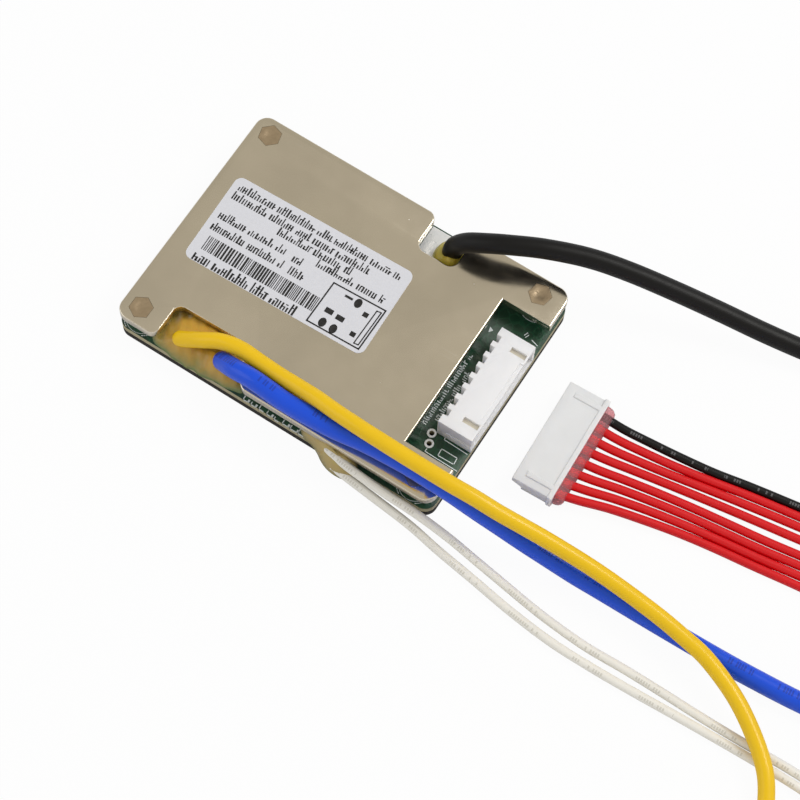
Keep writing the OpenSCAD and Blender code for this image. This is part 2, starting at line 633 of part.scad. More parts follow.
module balance_transistor_legs() {
    color([0.78, 0.78, 0.77]) for (y = balance_places) for (leg = [[-1, -1], [-1, 1], [1, 0]])
        translate([sot_x + leg[0] * (sot_w + sot_leg_l) / 2 - sot_leg_l / 2,
                   y + leg[1] * sot_l / 3 - sot_leg_w / 2, top_z])
            cube([sot_leg_l, sot_leg_w, sot_lift + sot_leg_t]);
}

module chip_capacitors() {
    color([0.68, 0.55, 0.4]) for (p = cap_places)
        translate([p[0] - cap_l / 2 + cap_end_l, p[1] - cap_w / 2, top_z]) cube([cap_l - 2 * cap_end_l, cap_w, cap_h]);
}

module chip_capacitor_ends() {
    color([0.78, 0.78, 0.77]) for (p = cap_places) for (side = [-1, 1])
        translate([p[0] + side * (cap_l - cap_end_l) / 2 - cap_end_l / 2, p[1] - cap_w / 2, top_z])
            cube([cap_end_l, cap_w, cap_h]);
}

module label() {
    color([0.88, 0.89, 0.91]) translate([label_x, label_y, roof_z]) rotate(label_turn)
        linear_extrude(label_t) rounded_rect(label_l, label_w, label_r);
}

// blob of glue round a list of balls, each [x, y, height, radius]
module blob(balls) {
    hull() for (b = balls) translate([b[0], b[1], b[2]]) sphere(b[3], $fn = 16);
}

// collar of glue round the foot of the pack lead, inside its notch
module pack_lead_glue() {
    color([0.72, 0.6, 0.16]) difference() {
        intersection() {
            translate([BLACK[0][0], BLACK[0][1], top_z]) blob(PACK_GLUE);
            translate([pack_notch_x + fit_gap, board_w / 2 - fit_gap, top_z + copper_t])
                linear_extrude(gap_h + plate_t) notch(pack_notch_l - 2 * fit_gap, pack_notch_d - 2 * fit_gap);
        }
        tube(BLACK, black_d, rings = 6);
    }
}

// pool of glue that fills the main leads notch, spreads under the plate and holds both leads
module main_leads_glue() {
    color([0.66, 0.52, 0.2]) difference() {
        intersection() {
            translate([lead_notch_x, -board_w / 2, top_z]) for (balls = MAIN_GLUE) blob(balls);
            translate([lead_notch_x, -board_w / 2, top_z]) {
                translate([-pool_spread, 0, 0])
                    cube([lead_notch_l + 2 * pool_spread, lead_notch_d + pool_spread, gap_h - fit_gap]);
                translate([fit_gap, fit_gap, 0]) linear_extrude(gap_h + plate_t)
                    mirror([0, 1]) notch(lead_notch_l - 2 * fit_gap, lead_notch_d - 2 * fit_gap);
            }
        }
        tube(YELLOW, yellow_d, rings = 8);
        tube(BLUE, blue_d, rings = 8);
    }
}

// bead of glue that holds the white leads between the board and the plate
module white_leads_glue() {
    color([0.76, 0.64, 0.3]) difference() {
        intersection() {
            translate([WHITE_1[0][0], -board_w / 2, top_z]) blob(WHITE_GLUE);
            translate([WHITE_1[0][0] - pool_spread, -board_w / 2, top_z])
                cube([lead_notch_l, lead_notch_d, gap_h - fit_gap]);
        }
        tube(WHITE_1, white_d, 2, rings = 12);
        tube(WHITE_2, white_d, 2, rings = 12);
    }
}

module black_lead() {
    color([0.11, 0.11, 0.12]) tube(BLACK, black_d);
}

module yellow_lead() {
    color([0.9, 0.74, 0.08]) tube(YELLOW, yellow_d);
}

module blue_lead() {
    color([0.16, 0.28, 0.68]) tube(BLUE, blue_d);
}

module white_lead_1() {
    color([0.88, 0.84, 0.76]) tube(WHITE_1, white_d, 2);
}

module white_lead_2() {
    color([0.88, 0.84, 0.76]) tube(WHITE_2, white_d, 2);
}

module tinned_end(route, d, l) {
    color([0.8, 0.8, 0.8]) bare_end(route, d, l);
}

module black_lead_end() {
    tinned_end(BLACK, black_d * 0.58, bare_l);
}

module yellow_lead_end() {
    tinned_end(YELLOW, yellow_d * 0.5, bare_l);
}

module blue_lead_end() {
    tinned_end(BLUE, blue_d * 0.5, bare_l);
}

module white_lead_ends() {
    for (route = [WHITE_1, WHITE_2]) tinned_end(route, white_d * 0.45, thin_bare_l);
}

module harness_wire(k) {
    color(k == 0 ? [0.11, 0.11, 0.12] : [0.8, 0.1, 0.13]) tube(sense_route(k), sense_d, 2);
}

module harness_wire_ends() {
    for (k = [0:ways - 1]) tinned_end(sense_route(k), sense_d * 0.45, thin_bare_l);
}

// places what follows in the plug's own frame: x = 0 at its mating edge, z = 0 on the surface
module on_plug() {
    translate([plug_centre[0], plug_centre[1], 0]) rotate(plug_turn) translate([-plug_d / 2, 0, 0]) children();
}

module harness_plug() {
    color([0.92, 0.92, 0.9]) on_plug() difference() {
        union() {
            // roof that reaches over the mating face on a slanted edge
            translate([0, plug_w / 2, 0]) rotate([90, 0, 0]) linear_extrude(plug_w) polygon([
                [0, plug_h - rib_h], [0, plug_h - rib_h - hood_t],
                [plug_hood, plug_h - rib_h - hood_t - plug_hood / 2],
                [plug_d, plug_h - rib_h - hood_t - plug_hood / 2], [plug_d, plug_h - rib_h]]);
            // body, a little narrower than the roof
            translate([plug_hood, body_inset - plug_w / 2, 0])
                cube([plug_d - plug_hood, plug_w - 2 * body_inset, plug_h - rib_h - hood_t]);
            // wire-end flange
            translate([plug_d - flange_l, -plug_w / 2 - flange_w, flange_lift])
                cube([flange_l, plug_w + 2 * flange_w, plug_h - flange_lift]);
            // raised ribs on the roof
            for (side = [-1, 1]) translate([rib_start, side * (rib_y + rib_w / 2) - rib_w / 2, plug_h - rib_h - eps])
                cube([plug_d - rib_start, rib_w, rib_h + eps]);
        }
        for (y = channel_places) {
            translate([-1, y - channel_w / 2, channel_z - channel_w / 2]) cube([plug_d + 2, channel_w, channel_w]);
            translate([window_x, y - window_w / 2, -1]) cube([window_l, window_w, channel_z + 1]);
        }
    }
}

// folded sheet contacts, open towards the header and crimped to the wires
module harness_contacts() {
    color([0.8, 0.79, 0.76]) on_plug() for (y = channel_places)
        translate([contact_front, y - contact_w / 2, channel_z - contact_w / 2 - (channel_w - contact_w) / 2])
            difference() {
                cube([contact_l, contact_w, contact_w]);
                translate([-1, contact_t, contact_t])
                    cube([contact_l - 0.6 + 1, contact_w - 2 * contact_t, contact_w - 2 * contact_t]);
            }
}

// clear glue run along the wires where they enter the plug
module harness_plug_glue() {
    reach = (ways - 1) / 2 * pitch + 1;
    color([0.93, 0.9, 0.88]) difference() {
        on_plug() intersection() {
            hull() for (y = [-reach, reach]) translate([plug_d + 0.3, y, bead_z]) scale([1.5, 1, 2]) sphere(bead_r, $fn = 16);
            translate([plug_d, -plug_w, 0]) cube([bead_l * 2, plug_w * 2, plug_h]);
        }
        for (k = [0:ways - 1]) tube(sense_route(k), sense_d, 2, rings = 5);
    }
}

base_pad();
circuit_board();
tinned_pads();
heatsink_plate();
clinch_standoffs();
board_screws();
header_housing();
header_pins();
power_transistors();
transistor_legs();
thermal_pads();
shunt_resistors();
shunt_ends();
control_chip();
control_chip_legs();
balance_resistors();
balance_resistor_ends();
balance_transistors();
balance_transistor_legs();
chip_capacitors();
chip_capacitor_ends();
label();
pack_lead_glue();
main_leads_glue();
white_leads_glue();
black_lead();
yellow_lead();
blue_lead();
white_lead_1();
white_lead_2();
black_lead_end();
yellow_lead_end();
blue_lead_end();
white_lead_ends();
harness_plug();
harness_contacts();
harness_plug_glue();
harness_wire(0);  // harness_wire_1
harness_wire(1);  // harness_wire_2
harness_wire(2);  // harness_wire_3
harness_wire(3);  // harness_wire_4
harness_wire(4);  // harness_wire_5
harness_wire(5);  // harness_wire_6
harness_wire(6);  // harness_wire_7
harness_wire(7);  // harness_wire_8
harness_wire_ends();
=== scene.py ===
"""Battery management board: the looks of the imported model.

Every length below is in millimetres and is turned into metres by MM when a mesh is made.
The frame is the model's own: +X towards the connector end, +Y towards the pack lead, +Z up.
"""

import math

import bmesh
import bpy
import numpy as np
from mathutils import Euler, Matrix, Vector


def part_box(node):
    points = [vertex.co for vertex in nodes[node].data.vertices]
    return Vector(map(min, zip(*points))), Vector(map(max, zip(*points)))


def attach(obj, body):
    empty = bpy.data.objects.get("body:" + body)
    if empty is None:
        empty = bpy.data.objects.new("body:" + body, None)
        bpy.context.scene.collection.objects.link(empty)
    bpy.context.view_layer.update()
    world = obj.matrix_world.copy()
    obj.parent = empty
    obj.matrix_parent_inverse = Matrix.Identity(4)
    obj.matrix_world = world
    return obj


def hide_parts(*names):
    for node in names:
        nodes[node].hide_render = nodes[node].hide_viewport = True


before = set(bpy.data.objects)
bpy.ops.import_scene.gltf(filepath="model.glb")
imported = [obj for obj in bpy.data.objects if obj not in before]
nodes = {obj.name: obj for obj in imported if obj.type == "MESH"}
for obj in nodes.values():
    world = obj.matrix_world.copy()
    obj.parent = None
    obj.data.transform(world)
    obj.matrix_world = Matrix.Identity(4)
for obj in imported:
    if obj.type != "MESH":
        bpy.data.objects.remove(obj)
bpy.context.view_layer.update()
MM = 0.001


# ---------------------------------------------------------------- sizes and objects


def low(node):
    """Lowest corner of a CAD node, in millimetres."""
    return np.array(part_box(node)[0]) / MM


def high(node):
    """Highest corner of a CAD node, in millimetres."""
    return np.array(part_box(node)[1]) / MM


BOARD_TOP = high("circuit_board")[2]
BOARD_EDGE = low("circuit_board")[1]
PLATE_TOP = high("heatsink_plate")[2]
LABEL_TOP = high("label")[2]
LABEL_MIDDLE = (low("label") + high("label")) / 2
LABEL_TURN = math.radians(1.5)
STANDOFFS = [(-31.2, 21.6), (-31.2, -21.6), (29.9, 21.6), (29.9, -21.6)]

# Left edges of the notches for the pack lead and the main leads, the second one's length, and their depth.
PACK_NOTCH_X = 5.0
LEAD_NOTCH_X = -25.8
LEAD_NOTCH_L = 18.4
NOTCH_D = 7.9
# The header and its plug.
PITCH = 2.5
WAYS = 8

# Outer diameters of the insulation.
BLACK_D = 3.9
YELLOW_D = 3.1
BLUE_D = 3.8
WHITE_D = 1.7
SENSE_D = 1.7


def placed(name, data):
    """A new object of some data, put in the scene."""
    made = bpy.data.objects.new(name, data)
    bpy.context.scene.collection.objects.link(made)
    return made


# ---------------------------------------------------------------- camera

CAMERA_LENS = 106.6
CAMERA_SENSOR = 36
CAMERA_NEAREST = 10
CAMERA_PLACE = (98.6, -150.5, 415.1)
CAMERA_ANGLES = (21.53, -1.24, 32.70)


def make_camera():
    """A long lens that looks down on the board from its connector end and the leads' side."""
    data = bpy.data.cameras.new("camera")
    data.lens = CAMERA_LENS
    data.sensor_width = CAMERA_SENSOR
    data.clip_start = CAMERA_NEAREST * MM
    camera = placed("camera", data)
    camera.location = Vector(CAMERA_PLACE) * MM
    camera.rotation_euler = Euler([math.radians(a) for a in CAMERA_ANGLES])
    bpy.context.scene.camera = camera


make_camera()


# ---------------------------------------------------------------- shader helpers


def new_material(name):
    """A material with an empty node tree but for its output and one Principled shader."""
    made = bpy.data.materials.new(name)
    made.use_nodes = True
    tree = made.node_tree
    return made, tree, tree.nodes["Principled BSDF"]


def put(tree, kind, inputs=(), **settings):
    """Adds a node, sets its properties, and fills or links its inputs by name or number."""
    node = tree.nodes.new("ShaderNode" + kind)
    for key, value in settings.items():
        setattr(node, key, value)
    for key, value in dict(inputs).items():
        if isinstance(value, bpy.types.NodeSocket):
            tree.links.new(value, node.inputs[key])
        else:
            node.inputs[key].default_value = value
    return node


def rgb(red, green, blue):
    """A colour written as it shows on a screen, from 0 to 255, in the shader's linear values."""
    value = np.array([red, green, blue]) / 255
    linear = np.where(value <= 0.04045, value / 12.92, ((value + 0.055) / 1.055) ** 2.4)
    return (*[float(v) for v in linear], 1.0)


def coordinates(tree, scale=(1, 1, 1), turn=0.0):
    """Object coordinates in millimetres, turned about Z and then stretched by scale."""
    source = put(tree, "TexCoord").outputs["Object"]
    factor = [s / MM for s in scale]
    return put(tree, "Mapping", {"Vector": source, "Rotation": (0, 0, turn), "Scale": factor}).outputs[0]


def noise(tree, vector, scale, detail, roughness=0.5):
    """Soft noise from 0 to 1; scale is in waves a millimetre."""
    inputs = {"Vector": vector, "Scale": scale, "Detail": detail, "Roughness": roughness}
    return put(tree, "TexNoise", inputs).outputs["Fac"]


def ramp(tree, value, stops):
    """A colour that runs through (place, colour) stops as value goes from 0 to 1."""
    node = put(tree, "ValToRGB", {"Fac": value})
    elements = node.color_ramp.elements
    while len(elements) < len(stops):
        elements.new(0.5)
    for element, (place, colour) in zip(elements, stops):
        element.position = place
        element.color = colour
    return node.outputs["Color"]


def spread(tree, value, lowest, highest, start=0.0, end=1.0):
    """Carries value from start..end over to lowest..highest, without going past either."""
    inputs = {"Value": value, "From Min": start, "From Max": end, "To Min": lowest, "To Max": highest}
    return put(tree, "MapRange", inputs).outputs["Result"]


def mixed(tree, factor, first, second):
    """Two colours mixed by factor."""
    node = put(tree, "Mix", data_type="RGBA")
    for index, value in ((0, factor), (6, first), (7, second)):
        if isinstance(value, bpy.types.NodeSocket):
            tree.links.new(value, node.inputs[index])
        else:
            node.inputs[index].default_value = value
    return node.outputs[2]


def math_node(tree, operation, first, second=0.0):
    """One step of arithmetic on values."""
    return put(tree, "Math", {0: first, 1: second}, operation=operation).outputs[0]


def darker(colour, share):
    """A colour brought down to a share of its light."""
    return tuple(c * share for c in colour[:3]) + (1,)


def bump(tree, shader, height, distance, strength):
    """Roughens a shader's surface by height, distance millimetres deep."""
    inputs = {"Height": height, "Distance": distance * MM, "Strength": strength}
    tree.links.new(put(tree, "Bump", inputs).outputs["Normal"], shader.inputs["Normal"])


def set_sockets(shader, **values):
    """Sets constant sockets by name, with underscores for spaces."""
    for key, value in values.items():
        shader.inputs[key.replace("_", " ")].default_value = value


# ---------------------------------------------------------------- materials


def plated_metal(name, tint, roughness):
    """Plated sheet: a soft mirror with faint clouds, sparse specks and hairline scratches."""
    made, tree, shader = new_material(name)
    where = coordinates(tree)
    clouds = noise(tree, where, 0.09, 4)
    grain = noise(tree, coordinates(tree, (1, 0.12, 1), 0.5), 3.0, 2)
    colour = mixed(tree, spread(tree, clouds, 0, 1, 0.35, 0.65), darker(tint, 0.93), tint)
    dots = put(tree, "TexVoronoi", {"Vector": where, "Scale": 0.22}, feature="F1").outputs["Distance"]
    speck = spread(tree, dots, 1, 0, 0.012, 0.03)
    cut = noise(tree, coordinates(tree, (0.3, 5, 1), 0.9), 0.5, 1, 0.2)
    scratch = spread(tree, cut, 0, 0.2, 0.79, 0.83)
    marks = math_node(tree, "MAXIMUM", speck, scratch)
    tree.links.new(mixed(tree, marks, colour, rgb(235, 232, 225)), shader.inputs["Base Color"])
    rough = spread(tree, noise(tree, where, 0.35, 3), roughness * 0.85, roughness * 1.2, 0.3, 0.7)
    marked = math_node(tree, "MULTIPLY", marks, 0.35)
    tree.links.new(math_node(tree, "ADD", rough, marked), shader.inputs["Roughness"])
    bump(tree, shader, grain, 0.004, 0.25)
    set_sockets(shader, Metallic=1.0)
    return made


def turned_metal(name, tint, roughness):
    """Plated turned steel with fine clouding."""
    made, tree, shader = new_material(name)
    where = coordinates(tree)
    patches = noise(tree, where, 1.6, 4)
    tree.links.new(mixed(tree, patches, darker(tint, 0.8), tint), shader.inputs["Base Color"])
    tree.links.new(spread(tree, patches, roughness * 0.8, roughness * 1.3), shader.inputs["Roughness"])
    bump(tree, shader, noise(tree, where, 9, 2), 0.01, 0.3)
    set_sockets(shader, Metallic=1.0)
    return made


def tin_painted_reflection():
    """Bright tin with small flow marks, painted near white with a faint blue and given little mirror: the
    colour is painted reflection of the bright surroundings.
    """
    made, tree, shader = new_material("tin_painted_reflection_finish")
    where = coordinates(tree)
    flow = noise(tree, where, 0.8, 3)
    # Painted reflection: the near-white, faintly blue colour stands in for the bright surroundings the tin
    # reflects.
    tree.links.new(mixed(tree, flow, rgb(240, 243, 248), rgb(251, 253, 255)), shader.inputs["Base Color"])
    tree.links.new(spread(tree, flow, 0.2, 0.42), shader.inputs["Roughness"])
    bump(tree, shader, flow, 0.08, 0.4)
    set_sockets(shader, Metallic=0.3)
    return made


def stranded_tin():
    """The tinned end of a stranded lead: tin over wires that twist round it."""
    made, tree, shader = new_material("stranded_tin_finish")
    twist = coordinates(tree, (0.8, 2.2, 2.2), 0.3)
    bands = put(tree, "TexWave", {"Vector": twist, "Scale": 0.9, "Distortion": 1.2, "Detail": 1.0})
    tree.links.new(mixed(tree, bands.outputs["Fac"], rgb(170, 170, 172), rgb(225, 226, 230)),
                   shader.inputs["Base Color"])
    bump(tree, shader, bands.outputs["Fac"], 0.08, 0.7)
    set_sockets(shader, Metallic=0.9, Roughness=0.32)
    return made


def board_finish():
    """Green solder mask over faint tracks on the faces, and bare layered glass fibre at the edges."""
    made, tree, shader = new_material("board_finish")
    where = coordinates(tree)
    upright = put(tree, "SeparateXYZ", {0: put(tree, "NewGeometry").outputs["Normal"]}).outputs["Z"]
    face = spread(tree, math_node(tree, "ABSOLUTE", upright), 0, 1, 0.4, 0.8)
    cells = put(tree, "TexVoronoi", {"Vector": where, "Scale": 0.55, "Randomness": 0.6},
                feature="DISTANCE_TO_EDGE", distance="CHEBYCHEV").outputs["Distance"]
    track = spread(tree, cells, 1, 0, 0.06, 0.09)
    mask = mixed(tree, track, rgb(12, 58, 36), rgb(18, 72, 46))
    layers = noise(tree, coordinates(tree, (0.25, 0.25, 9)), 1.0, 2)
    edge = mixed(tree, layers, rgb(150, 140, 105), rgb(196, 188, 158))
    tree.links.new(mixed(tree, face, edge, mask), shader.inputs["Base Color"])
    tree.links.new(spread(tree, face, 0.75, 0.42), shader.inputs["Roughness"])
    bump(tree, shader, track, 0.03, 0.35)
    return made


def moulded(name, colour, roughness, scatter=0.0):
    """Moulded plastic: an even colour with faint flow, fine grain and, if pale, light inside it."""
    made, tree, shader = new_material(name)
    where = coordinates(tree)
    flow = noise(tree, where, 0.25, 3)
    tree.links.new(mixed(tree, flow, darker(colour, 0.93), colour), shader.inputs["Base Color"])
    rough = spread(tree, noise(tree, where, 1.2, 2), roughness * 0.88, roughness * 1.12, 0.3, 0.7)
    tree.links.new(rough, shader.inputs["Roughness"])
    bump(tree, shader, noise(tree, where, 14, 2), 0.006, 0.5)
    if scatter:
        set_sockets(shader, Subsurface_Weight=scatter, Subsurface_Radius=(1, 0.95, 0.9),
                    Subsurface_Scale=1.2 * MM)
    return made


# Print on a lead: steps to a millimetre, share of steps left out, share of a step that is inked,
# share of a group that holds dashes, half a dash's height in turns, and how strongly it shows.
DASH_STEPS = 1.9
DASH_OFF = 0.3
DASH_INKED = 0.65
DASH_GROUP = 0.5
DASH_HALF = 0.055
DASH_STRENGTH = 0.6


def dashes(tree, turn, pitch):
    """1 where a lead has print and 0 elsewhere, from the surface map round_along.

    The map runs round the lead in u and along it in v, in millimetres. A dash shows where a random step
    along v is on, within DASH_HALF of a turn from u = turn, in groups that begin every pitch millimetres."""
    across = put(tree, "SeparateXYZ", {0: put(tree, "UVMap", uv_map="round_along").outputs["UV"]})
    u, v = across.outputs["X"], across.outputs["Y"]
    turned = math_node(tree, "FRACT", math_node(tree, "ADD", u, 0.5 - turn))
    off = math_node(tree, "SUBTRACT", turned, 0.5)
    step = math_node(tree, "FLOOR", math_node(tree, "MULTIPLY", v, DASH_STEPS))
    on = put(tree, "TexWhiteNoise", {"W": step}, noise_dimensions="1D").outputs["Value"]
    gap = math_node(tree, "FRACT", math_node(tree, "MULTIPLY", v, DASH_STEPS))
    group = math_node(tree, "FRACT", math_node(tree, "MULTIPLY", v, 1 / pitch))
    shown = math_node(tree, "LESS_THAN", math_node(tree, "ABSOLUTE", off), DASH_HALF)
    tests = (("GREATER_THAN", on, DASH_OFF), ("LESS_THAN", gap, DASH_INKED), ("LESS_THAN", group, DASH_GROUP))
    for test, value, limit in tests:
        shown = math_node(tree, "MULTIPLY", shown, math_node(tree, test, value, limit))
    return shown


def sleeve(name, colour, mark, roughness, gloss, turn=0.0, pitch=10.0):
    """Insulation: smooth colour with slow shading along it, and dashes of print where mark is a colour."""
    made, tree, shader = new_material(name)
    where = coordinates(tree)
    slow = noise(tree, where, 0.12, 2)
    shade = mixed(tree, slow, darker(colour, 0.92), colour)
    if mark:
        shown = dashes(tree, turn, pitch)
        shade = mixed(tree, math_node(tree, "MULTIPLY", shown, DASH_STRENGTH), shade, mark)
    tree.links.new(shade, shader.inputs["Base Color"])
    tree.links.new(spread(tree, noise(tree, where, 0.8, 3), roughness * 0.85, roughness * 1.15),
                   shader.inputs["Roughness"])
    set_sockets(shader, Coat_Weight=gloss, Coat_Roughness=0.16, Specular_IOR_Level=0.28)
    return made


def amber_glue(name, thin, thick, deep):
    """Set glue: greenish where it is thin, amber where it is thick, and wet-looking on top.

    The attribute depth holds the glue's thickness, from 0 at an edge to 1 at its tallest."""
    made, tree, shader = new_material(name)
    depth = put(tree, "Attribute", attribute_name="depth").outputs["Fac"]
    where = coordinates(tree)
    swirl = noise(tree, where, 0.3, 3, 0.5)
    level = math_node(tree, "ADD", depth, spread(tree, swirl, -0.1, 0.1, 0.3, 0.7))
    colours = ramp(tree, level, ((0.08, thin), (0.45, thick), (0.95, deep)))
    tree.links.new(colours, shader.inputs["Base Color"])
    bump(tree, shader, noise(tree, where, 0.9, 2), 0.08, 0.35)
    set_sockets(shader, Roughness=0.34, Coat_Weight=0.25, Coat_Roughness=0.12, Subsurface_Weight=0.35,
                Subsurface_Radius=(1, 0.6, 0.2), Subsurface_Scale=1.0 * MM)
    return made


def clear_glue():
    """Cloudy clear glue that lets the wires' colour through."""
    made, tree, shader = new_material("clear_glue_finish")
    where = coordinates(tree)
    cloud = noise(tree, where, 0.7, 3)
    tree.links.new(mixed(tree, cloud, rgb(252, 150, 160), rgb(253, 205, 210)), shader.inputs["Base Color"])
    bump(tree, shader, noise(tree, where, 0.8, 2), 0.1, 0.4)
    set_sockets(shader, Roughness=0.05, Transmission_Weight=0.78, IOR=1.06,
                Coat_Weight=0.5, Coat_Roughness=0.1)
    return made


def label_paper():
    """Coated white paper with a faint fibre."""
    made, tree, shader = new_material("label_paper_finish")
    where = coordinates(tree)
    fibre = noise(tree, where, 2.2, 4)
    tree.links.new(mixed(tree, fibre, rgb(214, 215, 221), rgb(226, 227, 233)), shader.inputs["Base Color"])
    bump(tree, shader, fibre, 0.01, 0.4)
    set_sockets(shader, Roughness=0.5)
    return made


def ink(name, colour, worn):
    """Print that is a little thin in places, where it fades to a mid grey by worn."""
    made, tree, shader = new_material(name)
    patches = noise(tree, coordinates(tree), 1.5, 3)
    faded = tuple(c + (0.55 - c) * worn for c in colour[:3]) + (1,)
    thin = spread(tree, patches, 0, 1, 0.4, 0.75)
    tree.links.new(mixed(tree, thin, colour, faded), shader.inputs["Base Color"])
    set_sockets(shader, Roughness=0.55)
    return made


def rubber_pad():
    """Dull black insulating pad with a fine weave pressed into it."""
    made, tree, shader = new_material("rubber_pad_finish")
    where = coordinates(tree)
    weave = put(tree, "TexBrick", {"Vector": where, "Scale": 1.0, "Mortar Size": 0.05, "Brick Width": 0.5,
                                   "Row Height": 0.5}, offset=0.5).outputs["Fac"]
    fuzz = noise(tree, where, 3, 3)
    tree.links.new(mixed(tree, fuzz, rgb(24, 21, 17), rgb(40, 36, 29)), shader.inputs["Base Color"])
    bump(tree, shader, weave, 0.03, 0.4)
    set_sockets(shader, Roughness=0.8)
    return made


def ceramic_body():
    """Fired ceramic with a mottled tan colour."""
    made, tree, shader = new_material("ceramic_finish")
    patches = noise(tree, coordinates(tree), 4, 3)
    tree.links.new(mixed(tree, patches, rgb(150, 122, 88), rgb(186, 160, 124)), shader.inputs["Base Color"])
    set_sockets(shader, Roughness=0.4)
    return made


PLATE = plated_metal("plate_finish", rgb(226, 217, 200), 0.17)
STANDOFF = turned_metal("standoff_finish", rgb(196, 176, 148), 0.34)
SCREW = turned_metal("screw_finish", rgb(205, 206, 210), 0.28)
# Tin whose near-white colour is painted reflection, used for the pads, header pins and plug contacts.
TIN_PAINTED_REFLECTION = tin_painted_reflection()
STRANDS = stranded_tin()
LEGS = turned_metal("lead_frame_finish", rgb(214, 214, 216), 0.35)
BOARD = board_finish()
PAD = rubber_pad()
NYLON = moulded("header_nylon_finish", rgb(243, 243, 245), 0.42, 0.45)
# The key floors are the header's nylon painted darker and warmer: painted shade in the openings.
KEY_FLOOR_PAINTED_SHADE = moulded("key_floor_painted_shade_finish", rgb(222, 214, 196), 0.5, 0.3)
PLUG_NYLON = moulded("plug_nylon_finish", rgb(238, 239, 240), 0.34, 0.5)
BODIES = moulded("moulded_black_finish", rgb(28, 28, 30), 0.5)
HEAT_PAD = moulded("gap_pad_finish", rgb(150, 156, 162), 0.7)
CERAMIC = ceramic_body()
PAPER = label_paper()
LABEL_INK = ink("label_ink_finish", rgb(10, 10, 13), 0.04)
BOARD_INK = ink("board_ink_finish", rgb(238, 246, 246), 0.05)
BLACK = sleeve("black_sleeve_finish", rgb(9, 9, 11), None, 0.46, 0.0)
YELLOW = sleeve("yellow_sleeve_finish", rgb(248, 202, 0), None, 0.44, 0.3)
BLUE = sleeve("blue_sleeve_finish", rgb(4, 80, 228), rgb(6, 44, 150), 0.36, 0.4, 0.97, 10)
WHITE = sleeve("white_sleeve_finish", rgb(248, 245, 236), rgb(204, 200, 187), 0.4, 0.15, 0.08, 14)
RED = sleeve("red_sleeve_finish", rgb(222, 6, 18), None, 0.42, 0.3)
SENSE_BLACK = sleeve("black_sense_finish", rgb(9, 9, 11), rgb(116, 116, 118), 0.44, 0.0, 0.03, 6.5)
PACK_GLUE = amber_glue("pack_glue_finish", rgb(170, 166, 70), rgb(190, 176, 72), rgb(184, 162, 52))
LEAD_GLUE = amber_glue("lead_glue_finish", rgb(106, 120, 66), rgb(184, 150, 66), rgb(220, 168, 44))
WHITE_GLUE = amber_glue("white_glue_finish", rgb(128, 122, 80), rgb(170, 150, 92), rgb(188, 166, 104))
CLEAR_GLUE = clear_glue()


# ---------------------------------------------------------------- surfaces


def mesh_piece(name, points, faces, finish, smooth=True):
    """A piece of its own from points in millimetres and faces, riding on the board."""
    mesh = bpy.data.meshes.new(name)
    mesh.from_pydata((np.asarray(points, float) * MM).tolist(), [], faces)
    mesh.materials.append(finish)
    mesh.shade_smooth() if smooth else mesh.shade_flat()
    piece = placed(name, mesh)
    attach(piece, "root")
    return piece


def surface(name, grid, finish, uv=None):
    """A closed skin over a grid of points.

    grid[i, k] is point k of ring i; each ring closes on itself, and the first and last rings are
    small or folded flat, so that a fan to their middle closes the skin. Faces join ring i to ring
    i + 1. uv[i, k] fills the map round_along, with one more column than the ring has points."""
    rings, sides = grid.shape[:2]
    i, k = np.meshgrid(np.arange(rings - 1), np.arange(sides), indexing="ij")
    after = (k + 1) % sides
    quads = np.stack([i * sides + k, i * sides + after, (i + 1) * sides + after, (i + 1) * sides + k], -1)
    quads = quads.reshape(-1, 4)
    caps = [np.arange(sides)[::-1].tolist(), (np.arange(sides) + (rings - 1) * sides).tolist()]
    piece = mesh_piece(name, grid.reshape(-1, 3), quads.tolist() + caps, finish)
    if uv is not None:
        layer = piece.data.uv_layers.new(name="round_along")
        corners = np.stack([uv[i, k], uv[i, k + 1], uv[i + 1, k + 1], uv[i + 1, k]], -2).reshape(-1, 2)
        ends = np.zeros((len(piece.data.loops) - len(corners), 2))
        layer.data.foreach_set("uv", np.concatenate([corners, ends]).ravel().astype(np.float32))
    return piece


def unit(vectors):
    """Each vector divided by its own length."""
    return vectors / np.linalg.norm(vectors, axis=-1, keepdims=True)


def cubic(a, b, c, d, t):
    """The uniform Catmull-Rom cubic from b to c, with a before and d after, as t goes from 0 to 1.

    It is half of 2b + (c - a)t + (2a - 5b + 4c - d)t^2 + (3b - a - 3c + d)t^3."""
    return (2 * b + (c - a) * t + (2 * a - 5 * b + 4 * c - d) * t**2 + (3 * b - a - 3 * c + d) * t**3) / 2


def curve_through(points, steps):
    """A smooth curve through points: cubics with steps parts each. The end stretches carry on straight."""
    points = np.asarray(points, float)
    padded = np.concatenate([2 * points[:1] - points[1:2], points, 2 * points[-1:] - points[-2:-1]])
    a, b, c, d = (padded[j:len(padded) - 3 + j, None] for j in range(4))
    t = (np.arange(steps) / steps)[None, :, None]
    return np.concatenate([cubic(a, b, c, d, t).reshape(-1, 3), points[-1:]])


# How far a tube's cut end is drawn in, and the rings and first angle of a nose.
TUBE_ROUNDING = 0.15
NOSE_RINGS = 8
NOSE_TIP = 0.08


